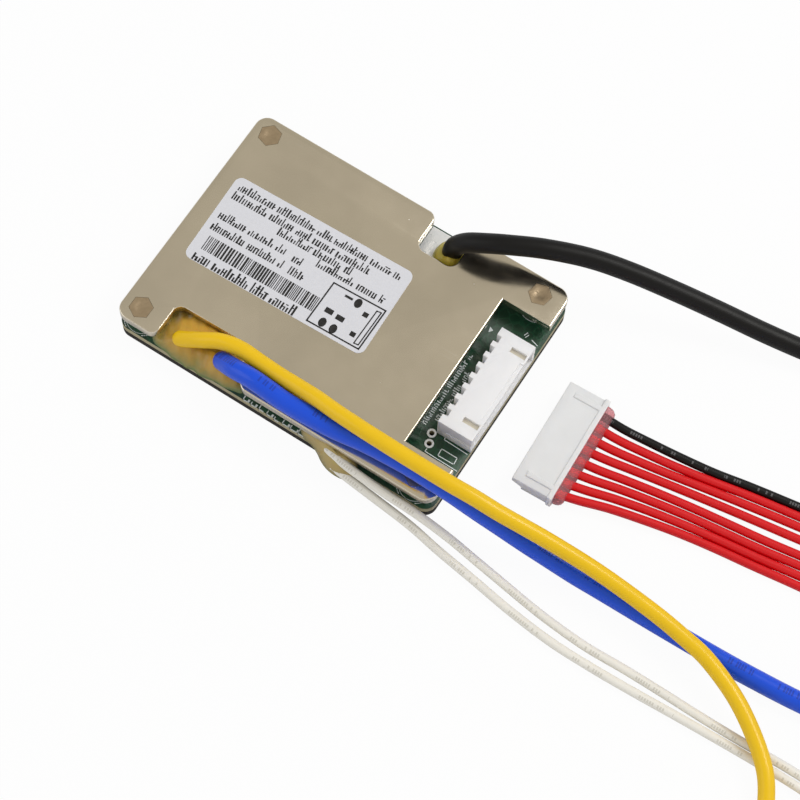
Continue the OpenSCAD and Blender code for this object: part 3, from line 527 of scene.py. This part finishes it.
def tube(name, path, diameter, finish, sides, nose):
    """A round tube: rings of radius r at right angles to the path, drawn in at both ends.

    Ring axes are u, the path's direction crossed with +Y, and v, the direction crossed with u. With a
    nose the start is a half ball: at angle a its ring is r sin(a) wide and r cos(a) before the path."""
    ahead = unit(np.gradient(path, axis=0))
    u = unit(np.cross(ahead, [0, 1, 0]))
    v = np.cross(ahead, u)
    along = np.concatenate([[0], np.cumsum(np.linalg.norm(np.diff(path, axis=0), axis=1))])
    radius = np.full(len(path), diameter / 2)
    round_off = min(TUBE_ROUNDING, diameter / 12)
    bend = np.linspace(NOSE_TIP, math.pi / 2, NOSE_RINGS + 1)[:-1]
    back = diameter / 2 * np.cos(bend) if nose else np.array([round_off])
    start = path[:1] - ahead[:1] * back[:, None]
    path = np.concatenate([start, path, path[-1:] + ahead[-1:] * round_off])
    first = diameter / 2 * np.sin(bend) if nose else np.array([diameter / 2 - round_off])
    radius = np.concatenate([first, radius, [diameter / 2 - round_off]])
    repeat = [0] * len(back) + list(range(len(u))) + [len(u) - 1]
    u, v, along = u[repeat], v[repeat], along[repeat]
    angle = np.arange(sides) * 2 * math.pi / sides
    spokes = np.cos(angle)[None, :, None] * u[:, None] + np.sin(angle)[None, :, None] * v[:, None]
    grid = path[:, None] + radius[:, None, None] * spokes
    turn, length = np.meshgrid(np.arange(sides + 1) / sides, along)
    return surface(name, grid, finish, np.stack([turn, length], -1))


def outlines(name, loops, height, finish, thickness):
    """Flat print or thin trim: each loop of (x, y) points is one face at height, with a little body."""
    points = [(x, y, height) for loop in loops for x, y in loop]
    faces, start = [], 0
    for loop in loops:
        faces.append(list(range(start, start + len(loop))))
        start += len(loop)
    piece = mesh_piece(name, points, faces, finish, smooth=False)
    body = piece.modifiers.new("body", "SOLIDIFY")
    body.thickness = thickness * MM
    body.offset = 1
    return piece


def bar(x, y, length, width, turn=0.0):
    """The four corners of a bar with its middle at (x, y), turned by turn radians."""
    c, s = math.cos(turn), math.sin(turn)
    p, q = length / 2, width / 2
    return [(x + a * c - b * s, y + a * s + b * c) for a, b in ((-p, -q), (p, -q), (p, q), (-p, q))]


def stroke(start, end, width):
    """A bar that joins two points."""
    (x0, y0), (x1, y1) = start, end
    length = math.hypot(x1 - x0, y1 - y0)
    return bar((x0 + x1) / 2, (y0 + y1) / 2, length + width, width, math.atan2(y1 - y0, x1 - x0))


def oval(x, y, rx, ry, sides=24):
    """An oval of radii rx and ry."""
    a = np.arange(sides) * 2 * math.pi / sides
    return list(zip(x + rx * np.cos(a), y + ry * np.sin(a)))


def ring_strokes(x, y, radius, width, parts=60):
    """A thin circle, as short strokes."""
    a = np.radians(np.linspace(0, 360, parts + 1))
    dots = list(zip(x + radius * np.cos(a), y + radius * np.sin(a)))
    return [stroke(dots[i], dots[i + 1], width) for i in range(parts)]


def closed_strokes(corners, width):
    """A closed outline of strokes through its corners."""
    return [stroke(corners[i], corners[(i + 1) % len(corners)], width) for i in range(len(corners))]


# Points closer than this are doubles; faces within the first angle are one flat; past the second is an edge.
MERGE_DISTANCE = 0.002
FLAT_ANGLE = math.radians(1)
SHARP_ANGLE = math.radians(35)


def dressed(node, finish, bevel=0.0, segments=2, weigh=None):
    """A copy of a CAD node with its doubles merged and its edges rounded, which replaces the node.

    weigh(x, y, z) gives the share of the bevel, from 0 to 1, that an edge with its middle there gets."""
    mesh = nodes[node].data.copy()
    mesh.name = node + "_dressed"
    mesh.materials.clear()
    mesh.materials.append(finish)
    shell = bmesh.new()
    shell.from_mesh(mesh)
    bmesh.ops.remove_doubles(shell, verts=shell.verts, dist=MERGE_DISTANCE * MM)
    bmesh.ops.dissolve_limit(shell, angle_limit=FLAT_ANGLE, verts=shell.verts, edges=shell.edges)
    weights = shell.edges.layers.float.new("bevel_weight_edge")
    for edge in shell.edges:
        sharp = edge.calc_face_angle(0) > SHARP_ANGLE
        middle = (edge.verts[0].co + edge.verts[1].co) / 2 / MM
        edge[weights] = (weigh(*middle) if weigh else 1) if sharp and bevel else 0
        edge.smooth = not sharp or edge[weights] > 0
    shell.to_mesh(mesh)
    shell.free()
    piece = placed(node + "_dressed", mesh)
    if bevel:
        rounding = piece.modifiers.new("edge", "BEVEL")
        rounding.width = bevel * MM
        rounding.segments = segments
        rounding.limit_method = "WEIGHT"
        rounding.harden_normals = True
    mesh.shade_smooth()
    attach(piece, "root")
    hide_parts(node)
    return piece


# A pool's rings, how far it is let into the board, how far it hangs over the edge, and its inmost ring.
POOL_RINGS = 16
POOL_SINK = 0.02
POOL_HANG = 0.9
POOL_HEART = 0.02


def pool(name, outline, spine, rise, finish, sides):
    """Set glue: a low pool inside a smooth closed outline of about so many sides, drawn round at its edge.

    The outline is a closed run of cubics through its points. Each ring is that outline pulled towards
    the nearest point of the spine, to s of its distance, from 1 at the edge down to almost 0; the top
    stands rise(x, y) above the board times the square root of 1 - s^4. Past the board's edge the pool
    hangs over it by a little. The attribute depth is its height over the tallest."""
    points = np.asarray(outline, float)
    count = len(points)
    a, b, c, d = (points[(np.arange(count) + j) % count][:, None] for j in (-1, 0, 1, 2))
    t = (np.arange(sides // count) * count / sides)[None, :, None]
    edge = cubic(a, b, c, d, t).reshape(-1, 2)
    start, end = np.asarray(spine, float)
    share = np.clip((edge - start) @ (end - start) / ((end - start) @ (end - start)), 0, 1)[:, None]
    heart = start + share * (end - start)
    s = np.concatenate([[POOL_HEART, 1], np.linspace(1, POOL_HEART, POOL_RINGS) ** 0.7])[:, None, None]
    flat = heart + (edge - heart) * s
    x, y = flat[..., 0], flat[..., 1]
    base = BOARD_TOP - POOL_SINK - POOL_HANG * np.clip(BOARD_EDGE - y, 0, 1)
    height = rise(x, y) * np.sqrt(1 - s[..., 0] ** 4)
    height[:2] = 0
    grid = np.stack([x, y, base + height], -1)
    piece = surface(name, grid, finish)
    tall = (height / height.max()).ravel().astype(np.float32)
    piece.data.attributes.new("depth", "FLOAT", "POINT").data.foreach_set("value", tall)
    return piece


def hill(x, y, middle, reach):
    """A round hill: e to the minus square of the distance, measured in reach."""
    return np.exp(-(((x - middle[0]) / reach[0]) ** 2 + ((y - middle[1]) / reach[1]) ** 2))


# ---------------------------------------------------------------- leads

PACK_CORNER = (PACK_NOTCH_X, -BOARD_EDGE, 0)
LEAD_CORNER = (LEAD_NOTCH_X, BOARD_EDGE, 0)


def from_corner(corner, points):
    """Points measured from a notch's left corner on the board's edge."""
    return np.asarray(corner, float) + np.asarray(points, float)


BLACK_ROUTE = from_corner(PACK_CORNER, [
    [5.9, -4.2, 3.8], [5.9, -4.2, 6.4], [6.4, -4, 9.4], [8.5, -3.4, 12.3], [12, -2.3, 14.2],
    [16, -0.6, 15.1], [22, 2.3, 15.2], [29.5, 5.6, 14.2], [37, 8, 12.7], [46, 10.3, 10.5],
    [55, 12.5, 7.9], [64, 14.5, 5.4], [73, 16.6, 3.4], [82, 18.7, 2.3], [91, 20.5, 2],
    [101, 22, 2], [111, 23, 2], [121, 23.4, 2], [131, 23.4, 2]])
YELLOW_ROUTE = from_corner(LEAD_CORNER, [
    [1.8, 2.8, 5.3], [4.2, 3, 6.7], [7.8, 4, 8.9], [11.4, 5.3, 10.3], [15.4, 5.9, 10.8],
    [20.2, 5.7, 10.7], [24.7, 5.4, 11], [29.2, 5.1, 11.9], [33.3, 4.7, 13], [37.2, 4.2, 13.7],
    [41.2, 3.8, 14.4], [45.3, 3.6, 14.7], [51.9, 3.5, 14.7], [57.2, 3.5, 14.6], [62.5, 3.6, 14.3],
    [67.6, 4, 13.5], [72.8, 4.4, 12.2], [82.9, 5.5, 9.8], [93.3, 6, 7.8], [104.2, 5.5, 6.5],
    [111.1, 4.7, 5.8], [118.2, 3.2, 5.4], [127.2, -0.9, 4.6], [136, -7.8, 3.3],
    [140.8, -15.6, 2.1], [144.8, -21.4, 1.7], [150.8, -26, 1.6], [158.8, -28.8, 1.6],
    [167.8, -29.8, 1.6], [176.8, -29.8, 1.6]])
BLUE_ROUTE = from_corner(LEAD_CORNER, [
    [10.8, 3.7, 5.5], [13.2, 3.1, 7.6], [16.4, 2.2, 10.1], [20.3, 2, 11.2], [24, 1.8, 11.2],
    [27.7, 1.6, 11], [31.5, 1.7, 10.9], [38.5, 2.1, 10.9], [45.1, 3, 10.9], [52.8, 3.5, 10.9],
    [58.1, 3.5, 10.9], [62.9, 3.5, 10.6], [68.1, 3.7, 9], [73.3, 4.1, 7], [78.6, 4.4, 5.3],
    [83.9, 4.7, 3.9], [89.2, 4.9, 2.9], [94.5, 5.2, 2.2], [105, 5.4, 1.9], [115.3, 5.6, 1.9],
    [123.5, 5.9, 1.9], [134.6, 6.7, 1.9], [142.8, 7.9, 1.9], [153.8, 10, 1.9], [164.8, 12, 1.9],
    [175.8, 13.2, 1.9], [186.8, 13.6, 1.9], [197.8, 13.6, 1.9]])
WHITE_ROUTES = [from_corner(LEAD_CORNER, [
    [28.8, 2.5, 5.4], [33.8, 1.4, 5.7], [37.8, 0.1, 5.7], [41.8, -0.8, 5.4], [46.8, -1.2, 5],
    [51.8, -1.4, 4.6], [56.8, -1.5, 4.5], [61.3, -1.6, 4], [66.8, -1.9, 3.1], [72.3, -2.5, 2.2],
    [77.8, -3.1, 1.4], [83.8, -3.9, 1], [89.8, -4.6, 0.9], [97.8, -5.1, 0.9], [105.8, -4.9, 0.9],
    [113.8, -4.9, 0.9], [121.8, -5, 0.9], [130.8, -4.9, 0.9], [139.8, -4.6, 0.9],
    [149.8, -4.8, 0.9], [159.8, -4.9, 0.9], [169.8, -5, 0.9], [179.8, -5, 0.9]]), from_corner(LEAD_CORNER, [
    [28.8, 0.6, 4.6], [33.8, -0.5, 4.5], [37.8, -1.5, 4.1], [42.8, -2.1, 3.5], [46.8, -2.4, 3],
    [51.3, -2.7, 2.5], [58.8, -3.3, 1.8], [65.8, -4.4, 1.2], [73.8, -5.5, 0.9], [82.8, -6.9, 0.9],
    [91.8, -7.8, 0.9], [99.8, -7.9, 0.9], [107.8, -7.7, 0.9], [118.8, -7.2, 0.9],
    [129.8, -6.8, 0.9], [139.8, -6.6, 0.9], [149.8, -6.8, 0.9], [159.8, -7, 0.9],
    [169.8, -7.2, 0.9], [179.8, -7.2, 0.9]])]

PLUG_CENTRE = (47.9, 0.35)
PLUG_TURN = math.radians(2)
PLUG_DEPTH = 8.4
CHANNEL_Z = 2.5
# Where a harness wire begins inside its channel, and where it has left the plug, from the mating edge.
WIRE_START = 7.45
WIRE_OUT = 9.3
SENSE_X = [8.9, 13.9, 19.9, 26.9, 33.9, 41.9, 51.9, 61.9, 71.9, 81.9, 91.9, 101.9, 111.9, 121.9, 131.9]
SENSE_Z = [2.4, 2.1, 1.7, 1.3, 1, 0.9, 0.9, 0.9, 0.9, 0.9, 0.9, 0.9, 0.9, 0.9, 0.9]
SENSE_Y = [[9.3, 9.8, 10.5, 11.5, 12.9, 14.2, 15.7, 16.7, 17.3, 17.5, 17.4, 17, 16.6, 16.4, 16.4],
           [6.9, 7.5, 8.4, 9.7, 11.1, 12.4, 13.8, 14.8, 15.4, 15.6, 15.4, 15, 14.6, 14.4, 14.4],
           [4.6, 5.4, 6.5, 7.9, 9.2, 10.5, 11.9, 12.8, 13.4, 13.6, 13.4, 13, 12.6, 12.4, 12.4],
           [2.3, 3.3, 4.5, 5.8, 7, 8.2, 9.6, 10.6, 11.2, 11.4, 11.3, 11, 10.6, 10.4, 10.4],
           [-0.2, 0.9, 2.1, 3.3, 4.3, 5.3, 6.8, 8.1, 9, 9.3, 9.2, 9, 8.6, 8.4, 8.4],
           [-2.5, -1.2, 0.1, 1.4, 2.4, 3.4, 4.9, 6.1, 7, 7.3, 7.2, 7, 6.6, 6.4, 6.4],
           [-4.9, -3.4, -1.9, -0.5, 0.6, 1.6, 3, 4.1, 5, 5.3, 5.2, 5, 4.6, 4.4, 4.4],
           [-7.3, -5.6, -4, -2.4, -1.2, -0.2, 1.1, 2.1, 3, 3.3, 3.2, 3, 2.6, 2.4, 2.4]]


def plug_point(x, y):
    """A point of the plug's own frame at the channels' height: x from its mating edge, y across it."""
    c, s = math.cos(PLUG_TURN), math.sin(PLUG_TURN)
    x -= PLUG_DEPTH / 2
    return [PLUG_CENTRE[0] + x * c - y * s, PLUG_CENTRE[1] + x * s + y * c, CHANNEL_Z]


def sense_route(k):
    """Route of harness wire k: straight out of its channel, then through its stations."""
    y = ((WAYS - 1) / 2 - k) * PITCH
    start = [plug_point(WIRE_START, y), plug_point(WIRE_OUT, y)]
    return start + [[PLUG_CENTRE[0] + x, across, z] for x, across, z in zip(SENSE_X, SENSE_Y[k], SENSE_Z)]


def lead(name, route, diameter, finish, slot, stiffness, pieces, steps=8, sides=24, skip=0):
    """A lead as a tube along its route, which takes the place of the lead's node in the model.

    The first skip points of the curve are left out, so that its nose shows above the glue."""
    path = curve_through(route, steps)[skip:]
    piece = tube(name + "_sleeve", path, diameter, finish, sides, skip > 0)
    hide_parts(name)


# The thick leads' steps to a stretch of their route, and their sides.
THICK = (10, 44)

lead("black_lead", BLACK_ROUTE, BLACK_D, BLACK, "sleeve_black", "medium", ["black_lead_end"], *THICK)
lead("yellow_lead", YELLOW_ROUTE, YELLOW_D, YELLOW, "sleeve_yellow", "medium", ["yellow_lead_end"], *THICK, 8)
lead("blue_lead", BLUE_ROUTE, BLUE_D, BLUE, "sleeve_blue", "medium", ["blue_lead_end"], *THICK, 10)
lead("white_lead_1", WHITE_ROUTES[0], WHITE_D, WHITE, "sleeve_white", "limp", ["white_lead_ends"], skip=18)
lead("white_lead_2", WHITE_ROUTES[1], WHITE_D, WHITE, "sleeve_white", "limp", [], skip=21)
dressed("harness_plug", PLUG_NYLON, 0.16)
for wire in range(WAYS):
    lead(f"harness_wire_{wire + 1}", sense_route(wire), SENSE_D, RED if wire else SENSE_BLACK,
         "sleeve_red" if wire else "sleeve_black", "limp",
         [] if wire else ["harness_plug", "harness_contacts", "harness_plug_glue", "harness_wire_ends"])


# ---------------------------------------------------------------- floor and light


FLOOR_HALF = 3000
FLOOR_DROP = 0.02
FLOOR_GLOW = 0.95


def make_floor():
    """A pale floor that fades to the white behind it, and keeps the object's soft shadow."""
    half = FLOOR_HALF * MM
    mesh = bpy.data.meshes.new("floor")
    corners = [(-half, -half, 0), (half, -half, 0), (half, half, 0), (-half, half, 0)]
    mesh.from_pydata(corners, [], [(0, 1, 2, 3)])
    floor = placed("floor", mesh)
    made, tree, shader = new_material("floor_finish")
    paper = noise(tree, put(tree, "TexCoord").outputs["Object"], 900, 2)
    tree.links.new(mixed(tree, paper, (0.8, 0.8, 0.8, 1), (0.84, 0.84, 0.84, 1)), shader.inputs["Base Color"])
    set_sockets(shader, Roughness=0.9, Specular_IOR_Level=0.1)
    glow = put(tree, "Emission", {"Color": (1, 1, 1, 1), "Strength": 1.0})
    seen = put(tree, "LightPath").outputs["Is Camera Ray"]
    share = math_node(tree, "MULTIPLY", seen, FLOOR_GLOW)
    blend = put(tree, "MixShader", {0: share, 1: shader.outputs[0], 2: glow.outputs[0]})
    tree.links.new(blend.outputs[0], tree.nodes["Material Output"].inputs["Surface"])
    mesh.materials.append(made)
    floor.location.z = -FLOOR_DROP * MM


def make_world():
    """White behind the object, an even room light, and a warm grey room in polished surfaces."""
    world = bpy.data.worlds.new("room")
    world.use_nodes = True
    tree = world.node_tree
    tree.nodes.clear()
    path = put(tree, "LightPath").outputs
    room = put(tree, "Background", {"Color": (1.0, 0.99, 0.975, 1), "Strength": 0.6})
    up = put(tree, "SeparateXYZ", {0: put(tree, "TexCoord").outputs["Generated"]})
    side = spread(tree, up.outputs["X"], 0, 1, -0.75, 0.35)
    ceiling = mixed(tree, side, rgb(182, 177, 164), rgb(203, 197, 184))
    walls = spread(tree, up.outputs["Z"], 1, 0, 0.05, 0.55)
    reflected = mixed(tree, walls, ceiling, rgb(242, 243, 246))
    mirror = put(tree, "Background", {"Color": reflected, "Strength": 1.0})
    white = put(tree, "Background", {"Color": (1, 1, 1, 1), "Strength": 1.0})
    gloss = put(tree, "MixShader", {0: path["Is Glossy Ray"], 1: room.outputs[0], 2: mirror.outputs[0]})
    seen = put(tree, "MixShader", {0: path["Is Camera Ray"], 1: gloss.outputs[0], 2: white.outputs[0]})
    tree.links.new(seen.outputs[0], put(tree, "OutputWorld").inputs["Surface"])
    bpy.context.scene.world = world


LAMP_AIM = (0.03, 0, 0)


def make_lamp(name, place, size, power, colour):
    """A soft square lamp, sized and placed in metres, that faces LAMP_AIM near the middle of the board."""
    data = bpy.data.lights.new(name, "AREA")
    data.shape = "SQUARE"
    data.size = size
    data.energy = power
    data.color = colour
    lamp = placed(name, data)
    lamp.location = place
    lamp.rotation_euler = (Vector(LAMP_AIM) - Vector(place)).to_track_quat("-Z", "Y").to_euler()


make_floor()
make_world()
make_lamp("key_lamp", (0.34, 0.34, 0.62), 0.3, 2.3, (1, 0.985, 0.96))
make_lamp("fill_lamp", (-0.5, -0.35, 0.5), 0.5, 0.7, (0.96, 0.98, 1))
bpy.context.scene.view_settings.view_transform = "Standard"


# ---------------------------------------------------------------- board stack

dressed("base_pad", PAD, 0.15)
dressed("circuit_board", BOARD, 0.08)


HEAD_REACH = 2.8
LOWER_SHARE = 0.35


def plate_edges(x, y, z):
    """Full rounding on the plate's upper outline, a little below, and none at the standoff heads."""
    if min(math.hypot(x - a, y - b) for a, b in STANDOFFS) < HEAD_REACH:
        return 0
    return 1 if z > PLATE_TOP - 0.2 else LOWER_SHARE


dressed("heatsink_plate", PLATE, 0.42, 4, plate_edges)
dressed("clinch_standoffs", STANDOFF)
dressed("board_screws", SCREW, 0.15)
dressed("header_housing", NYLON, 0.12)
dressed("power_transistors", BODIES, 0.12)

for node, finish in {
    "tinned_pads": TIN_PAINTED_REFLECTION, "header_pins": TIN_PAINTED_REFLECTION, "transistor_legs": LEGS, "thermal_pads": HEAT_PAD,
    "shunt_resistors": BODIES, "shunt_ends": LEGS, "control_chip": BODIES, "control_chip_legs": LEGS,
    "balance_resistors": BODIES, "balance_resistor_ends": LEGS, "balance_transistors": BODIES,
    "balance_transistor_legs": LEGS, "chip_capacitors": CERAMIC, "chip_capacitor_ends": LEGS,
    "label": PAPER, "black_lead_end": STRANDS, "yellow_lead_end": STRANDS, "blue_lead_end": STRANDS,
    "white_lead_ends": STRANDS, "harness_contacts": TIN_PAINTED_REFLECTION, "harness_wire_ends": STRANDS,
    "harness_plug_glue": CLEAR_GLUE,
}.items():
    nodes[node].data.materials.clear()
    nodes[node].data.materials.append(finish)


# ---------------------------------------------------------------- glue


# Height above the board that glue may have below the plate.
UNDER_PLATE = 2.95


def lead_glue_rise(x, y):
    """Height of the main leads' glue: a flat pool with a hill round each lead, held under the plate."""
    height = 1.5 + 2.3 * hill(x, y, (-21.6, -21.6), (3.4, 2.8)) + 2.9 * hill(x, y, (-12.9, -21.6), (3.2, 2.6))
    height += 2.2 * hill(x, y, (-17, -17.5), (7, 2.2)) + 0.22 * np.sin(1.9 * x) * np.sin(1.3 * y + 0.6 * x)
    inside = np.minimum.reduce([x - LEAD_NOTCH_X, LEAD_NOTCH_X + LEAD_NOTCH_L - x, BOARD_EDGE + NOTCH_D - y])
    under = np.clip(inside / 0.6, 0, 1)
    return np.minimum(height, UNDER_PLATE + 3 * under)


def pack_glue_rise(x, y):
    """Height of the pack lead's glue: highest against the notch wall and round the lead's foot."""
    return 2.6 + 2.0 * hill(x, y, (12.4, 19), (3, 4)) + 0.2 * np.sin(2.4 * x + y)


def white_glue_rise(x, y):
    """Height of the white leads' glue: two uneven lumps below the plate, and a bead on one lead's foot."""
    lumps = 1.2 * hill(x, y, (9.6, -23.8), (2.2, 2)) + 1.5 * hill(x, y, (14.9, -25.8), (3.0, 2.2))
    return 1.7 + lumps + 0.7 * hill(x, y, (12.5, -25.1), (1.5, 1.1))


LEAD_POOL = [[-28.6, -18.4], [-28.4, -22.2], [-27, -24.4], [-25, -24.9], [-23.4, -25.05], [-21.8, -25.35],
             [-20.2, -25.3], [-18.8, -25.45], [-17.4, -25.2], [-15.8, -25.4], [-14.2, -25.2], [-12.4, -24.9],
             [-10.6, -25], [-8.8, -24.6], [-7.2, -24.2], [-5.9, -22.6], [-6, -20], [-6.8, -17.4],
             [-8.6, -15.6], [-13, -14.6], [-19, -14.2], [-25.6, -14.9]]
LEAD_SPINE = [(-22.5, -20.8), (-11.5, -20.8)]
PACK_POOL = [[7.5, 21.4], [7.4, 19.4], [8.2, 17.7], [10, 17.3], [12, 17.25], [13.2, 18], [13.25, 20],
             [13.2, 22], [12.6, 23.6], [11.2, 24.3], [9.4, 23.9], [8.1, 22.9]]
PACK_SPINE = [(10.9, 19.9), (10.9, 21.8)]
WHITE_POOL = [[6.2, -22.6], [6.2, -24.2], [7.6, -25.2], [9.4, -25.5], [11, -26.1], [12.6, -27.1],
              [14.4, -27.8], [16.4, -28], [18.2, -27.7], [19.6, -26.8], [19.4, -25], [17.4, -23],
              [13.6, -21.4], [9, -21.4]]
WHITE_SPINE = [(9.6, -23.6), (15.8, -25.4)]

pool("main_leads_pool", LEAD_POOL, LEAD_SPINE, lead_glue_rise, LEAD_GLUE, 330)
pool("pack_lead_pool", PACK_POOL, PACK_SPINE, pack_glue_rise, PACK_GLUE, 180)
pool("white_leads_pool", WHITE_POOL, WHITE_SPINE, white_glue_rise, WHITE_GLUE, 210)
for node in ("main_leads", "pack_lead", "white_leads"):
    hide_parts(node + "_glue")


# ---------------------------------------------------------------- print on the label


def on_label(loop):
    """Places a loop drawn about the label's middle, turned as the label is."""
    c, s = math.cos(LABEL_TURN), math.sin(LABEL_TURN)
    return [(LABEL_MIDDLE[0] + x * c - y * s, LABEL_MIDDLE[1] + x * s + y * c) for x, y in loop]


def dash_row(x, y, length, height, seed, stroke_w=0.34):
    """A row of short strokes in groups, each of its own height: filler print with no letters in it."""
    rng = np.random.default_rng(seed)
    loops, at = [], x
    while at < x + length:
        for _ in range(rng.integers(6, 18)):
            width = stroke_w * rng.uniform(0.6, 1.1)
            tall = height * rng.choice([0.45, 0.7, 0.7, 1.0])
            if at + width > x + length:
                break
            loops.append(bar(at + width / 2, y - height / 2 + tall / 2, width, tall))
            if rng.random() < 0.45:
                level = y - height / 2 + rng.choice([0.1, 0.35, 0.65]) * height
                loops.append(bar(at + 0.35, level, 0.5, 0.22))
            at += width + 0.24 * rng.uniform(0.8, 1.3)
        at += 0.6
    return loops


def label_print():
    """Rows of filler strokes, a block of upright bars, and a simple drawing of a board with a socket."""
    loops = []
    rows = [(-18.3, 7.9, 36.2, 1.8), (-18.4, 5.8, 30.6, 1.8), (-7, 3.9, 16.6, 1.8), (-18.4, 1.0, 15.1, 1.8),
            (-1.7, 0.6, 2.2, 1.7), (-18.4, -1.7, 15.9, 1.8), (-1, -1.9, 3, 1.7), (2.8, 2.1, 14.8, 1.7)]
    for seed, (x, y, length, height) in enumerate(rows):
        loops += dash_row(x, y, length, height, seed + 3)
    rng = np.random.default_rng(21)
    at, bars_end, bars_middle, bars_high = -17.5, 7.0, -5.4, 3.2
    while at < bars_end:
        width = float(rng.choice([0.17, 0.17, 0.3, 0.42]))
        loops.append(bar(at + width / 2, bars_middle, width, bars_high))
        at += width + float(rng.choice([0.17, 0.17, 0.3]))
    loops += dash_row(-18, -8.6, 22.8, 2.2, 23, 0.42)
    loops += closed_strokes([(7.3, -9), (18.6, -8.9), (18.9, 0.4), (7.6, 0.2)], 0.3)
    loops += closed_strokes([(17.2, -8.3), (18.1, -8.2), (18.4, -0.4), (17.5, -0.5)], 0.24)
    loops += [oval(x, y, 0.75, 1.0) for x, y in ((13.7, -1), (10.0, -7.8), (12.4, -7.9))]
    loops += [bar(11.6, -0.9, 1.7, 0.5), bar(9.9, -5.2, 1.7, 1.1), bar(12.4, -5.4, 1.7, 1.1)]
    loops += [bar(16.1, y, 1.1, 1.0) for y in (-2.3, -6.9)]
    outlines("label_print", [on_label(loop) for loop in loops], LABEL_TOP, LABEL_INK, 0.015)


label_print()


# ---------------------------------------------------------------- floors of the header's key openings

KEY_LENGTH = 3.6
KEY_WIDTH = 1.4
KEY_FROM_FRONT = 2.05
KEY_FROM_SIDE = 2.9
KEY_DROP = 1.3
KEY_THICKNESS = 0.45

HEADER_LOW, HEADER_HIGH = low("header_housing"), high("header_housing")
KEYS = [bar(HEADER_HIGH[0] - KEY_FROM_FRONT, y, KEY_LENGTH, KEY_WIDTH)
        for y in (HEADER_LOW[1] + KEY_FROM_SIDE, HEADER_HIGH[1] - KEY_FROM_SIDE)]
# The floors carry painted shade: a darker, warmer nylon than the header's top.
outlines("header_key_floors", KEYS, HEADER_HIGH[2] - KEY_DROP, KEY_FLOOR_PAINTED_SHADE, KEY_THICKNESS)


# ---------------------------------------------------------------- print on the board


def board_print():
    """White marks on the board: a pin triangle, part outlines, edge lines and rings by the standoffs."""
    line = 0.16
    loops = [[(24.9, 11.7), (25.5, 12.5), (24.6, 12.9)]]
    loops += closed_strokes([(30.1, -13.0), (33.5, -13.0), (33.6, -14.4), (30.2, -14.5)], line)
    trails = [[(29.5, -10.9), (29.5, -11.2), (34.6, -11.35)], [(27.8, -14.5), (27.7, -15.1), (34.8, -15.2)]]
    for trail in trails:
        loops += [stroke(trail[i], trail[i + 1], line) for i in range(len(trail) - 1)]
    for x, y in STANDOFFS:
        for radius, width in ((3.2, 0.12), (3.6, line)):
            loops += [part for part in ring_strokes(x, y, radius, width)
                      if max(abs(q) for _, q in part) < -BOARD_EDGE - 0.1
                      and max(abs(p) for p, _ in part) < 34.8]
    rng = np.random.default_rng(31)
    for x, start, end in ((24.5, -10.6, 5.8), (26.1, -8.8, 2.4)):
        for part in dash_row(start, 0, end - start, 1.2, int(10 * x), 0.26):
            loops.append([(x - b, a) for a, b in part])
    for at in np.arange(-6.2, 8, 1.75):
        y, wide, tall = -25.1 + rng.uniform(-0.1, 0.15), rng.uniform(0.8, 1.3), rng.uniform(0.5, 0.9)
        loops += [stroke((at, y), (at + wide, y), 0.2), stroke((at, y), (at, y + tall), 0.2)]
        if rng.random() < 0.6:
            loops.append(bar(at + wide + 0.25, y + 0.3, 0.4, 0.6))
    loops += [bar(x, y, 0.9, line, 1.2) for x, y in ((31.1, 15.3), (31.5, 15.0))]
    loops.append(stroke((32.7, 14.8), (34.1, 14.4), 0.15))
    outlines("board_print", loops, BOARD_TOP, BOARD_INK, 0.02)


board_print()
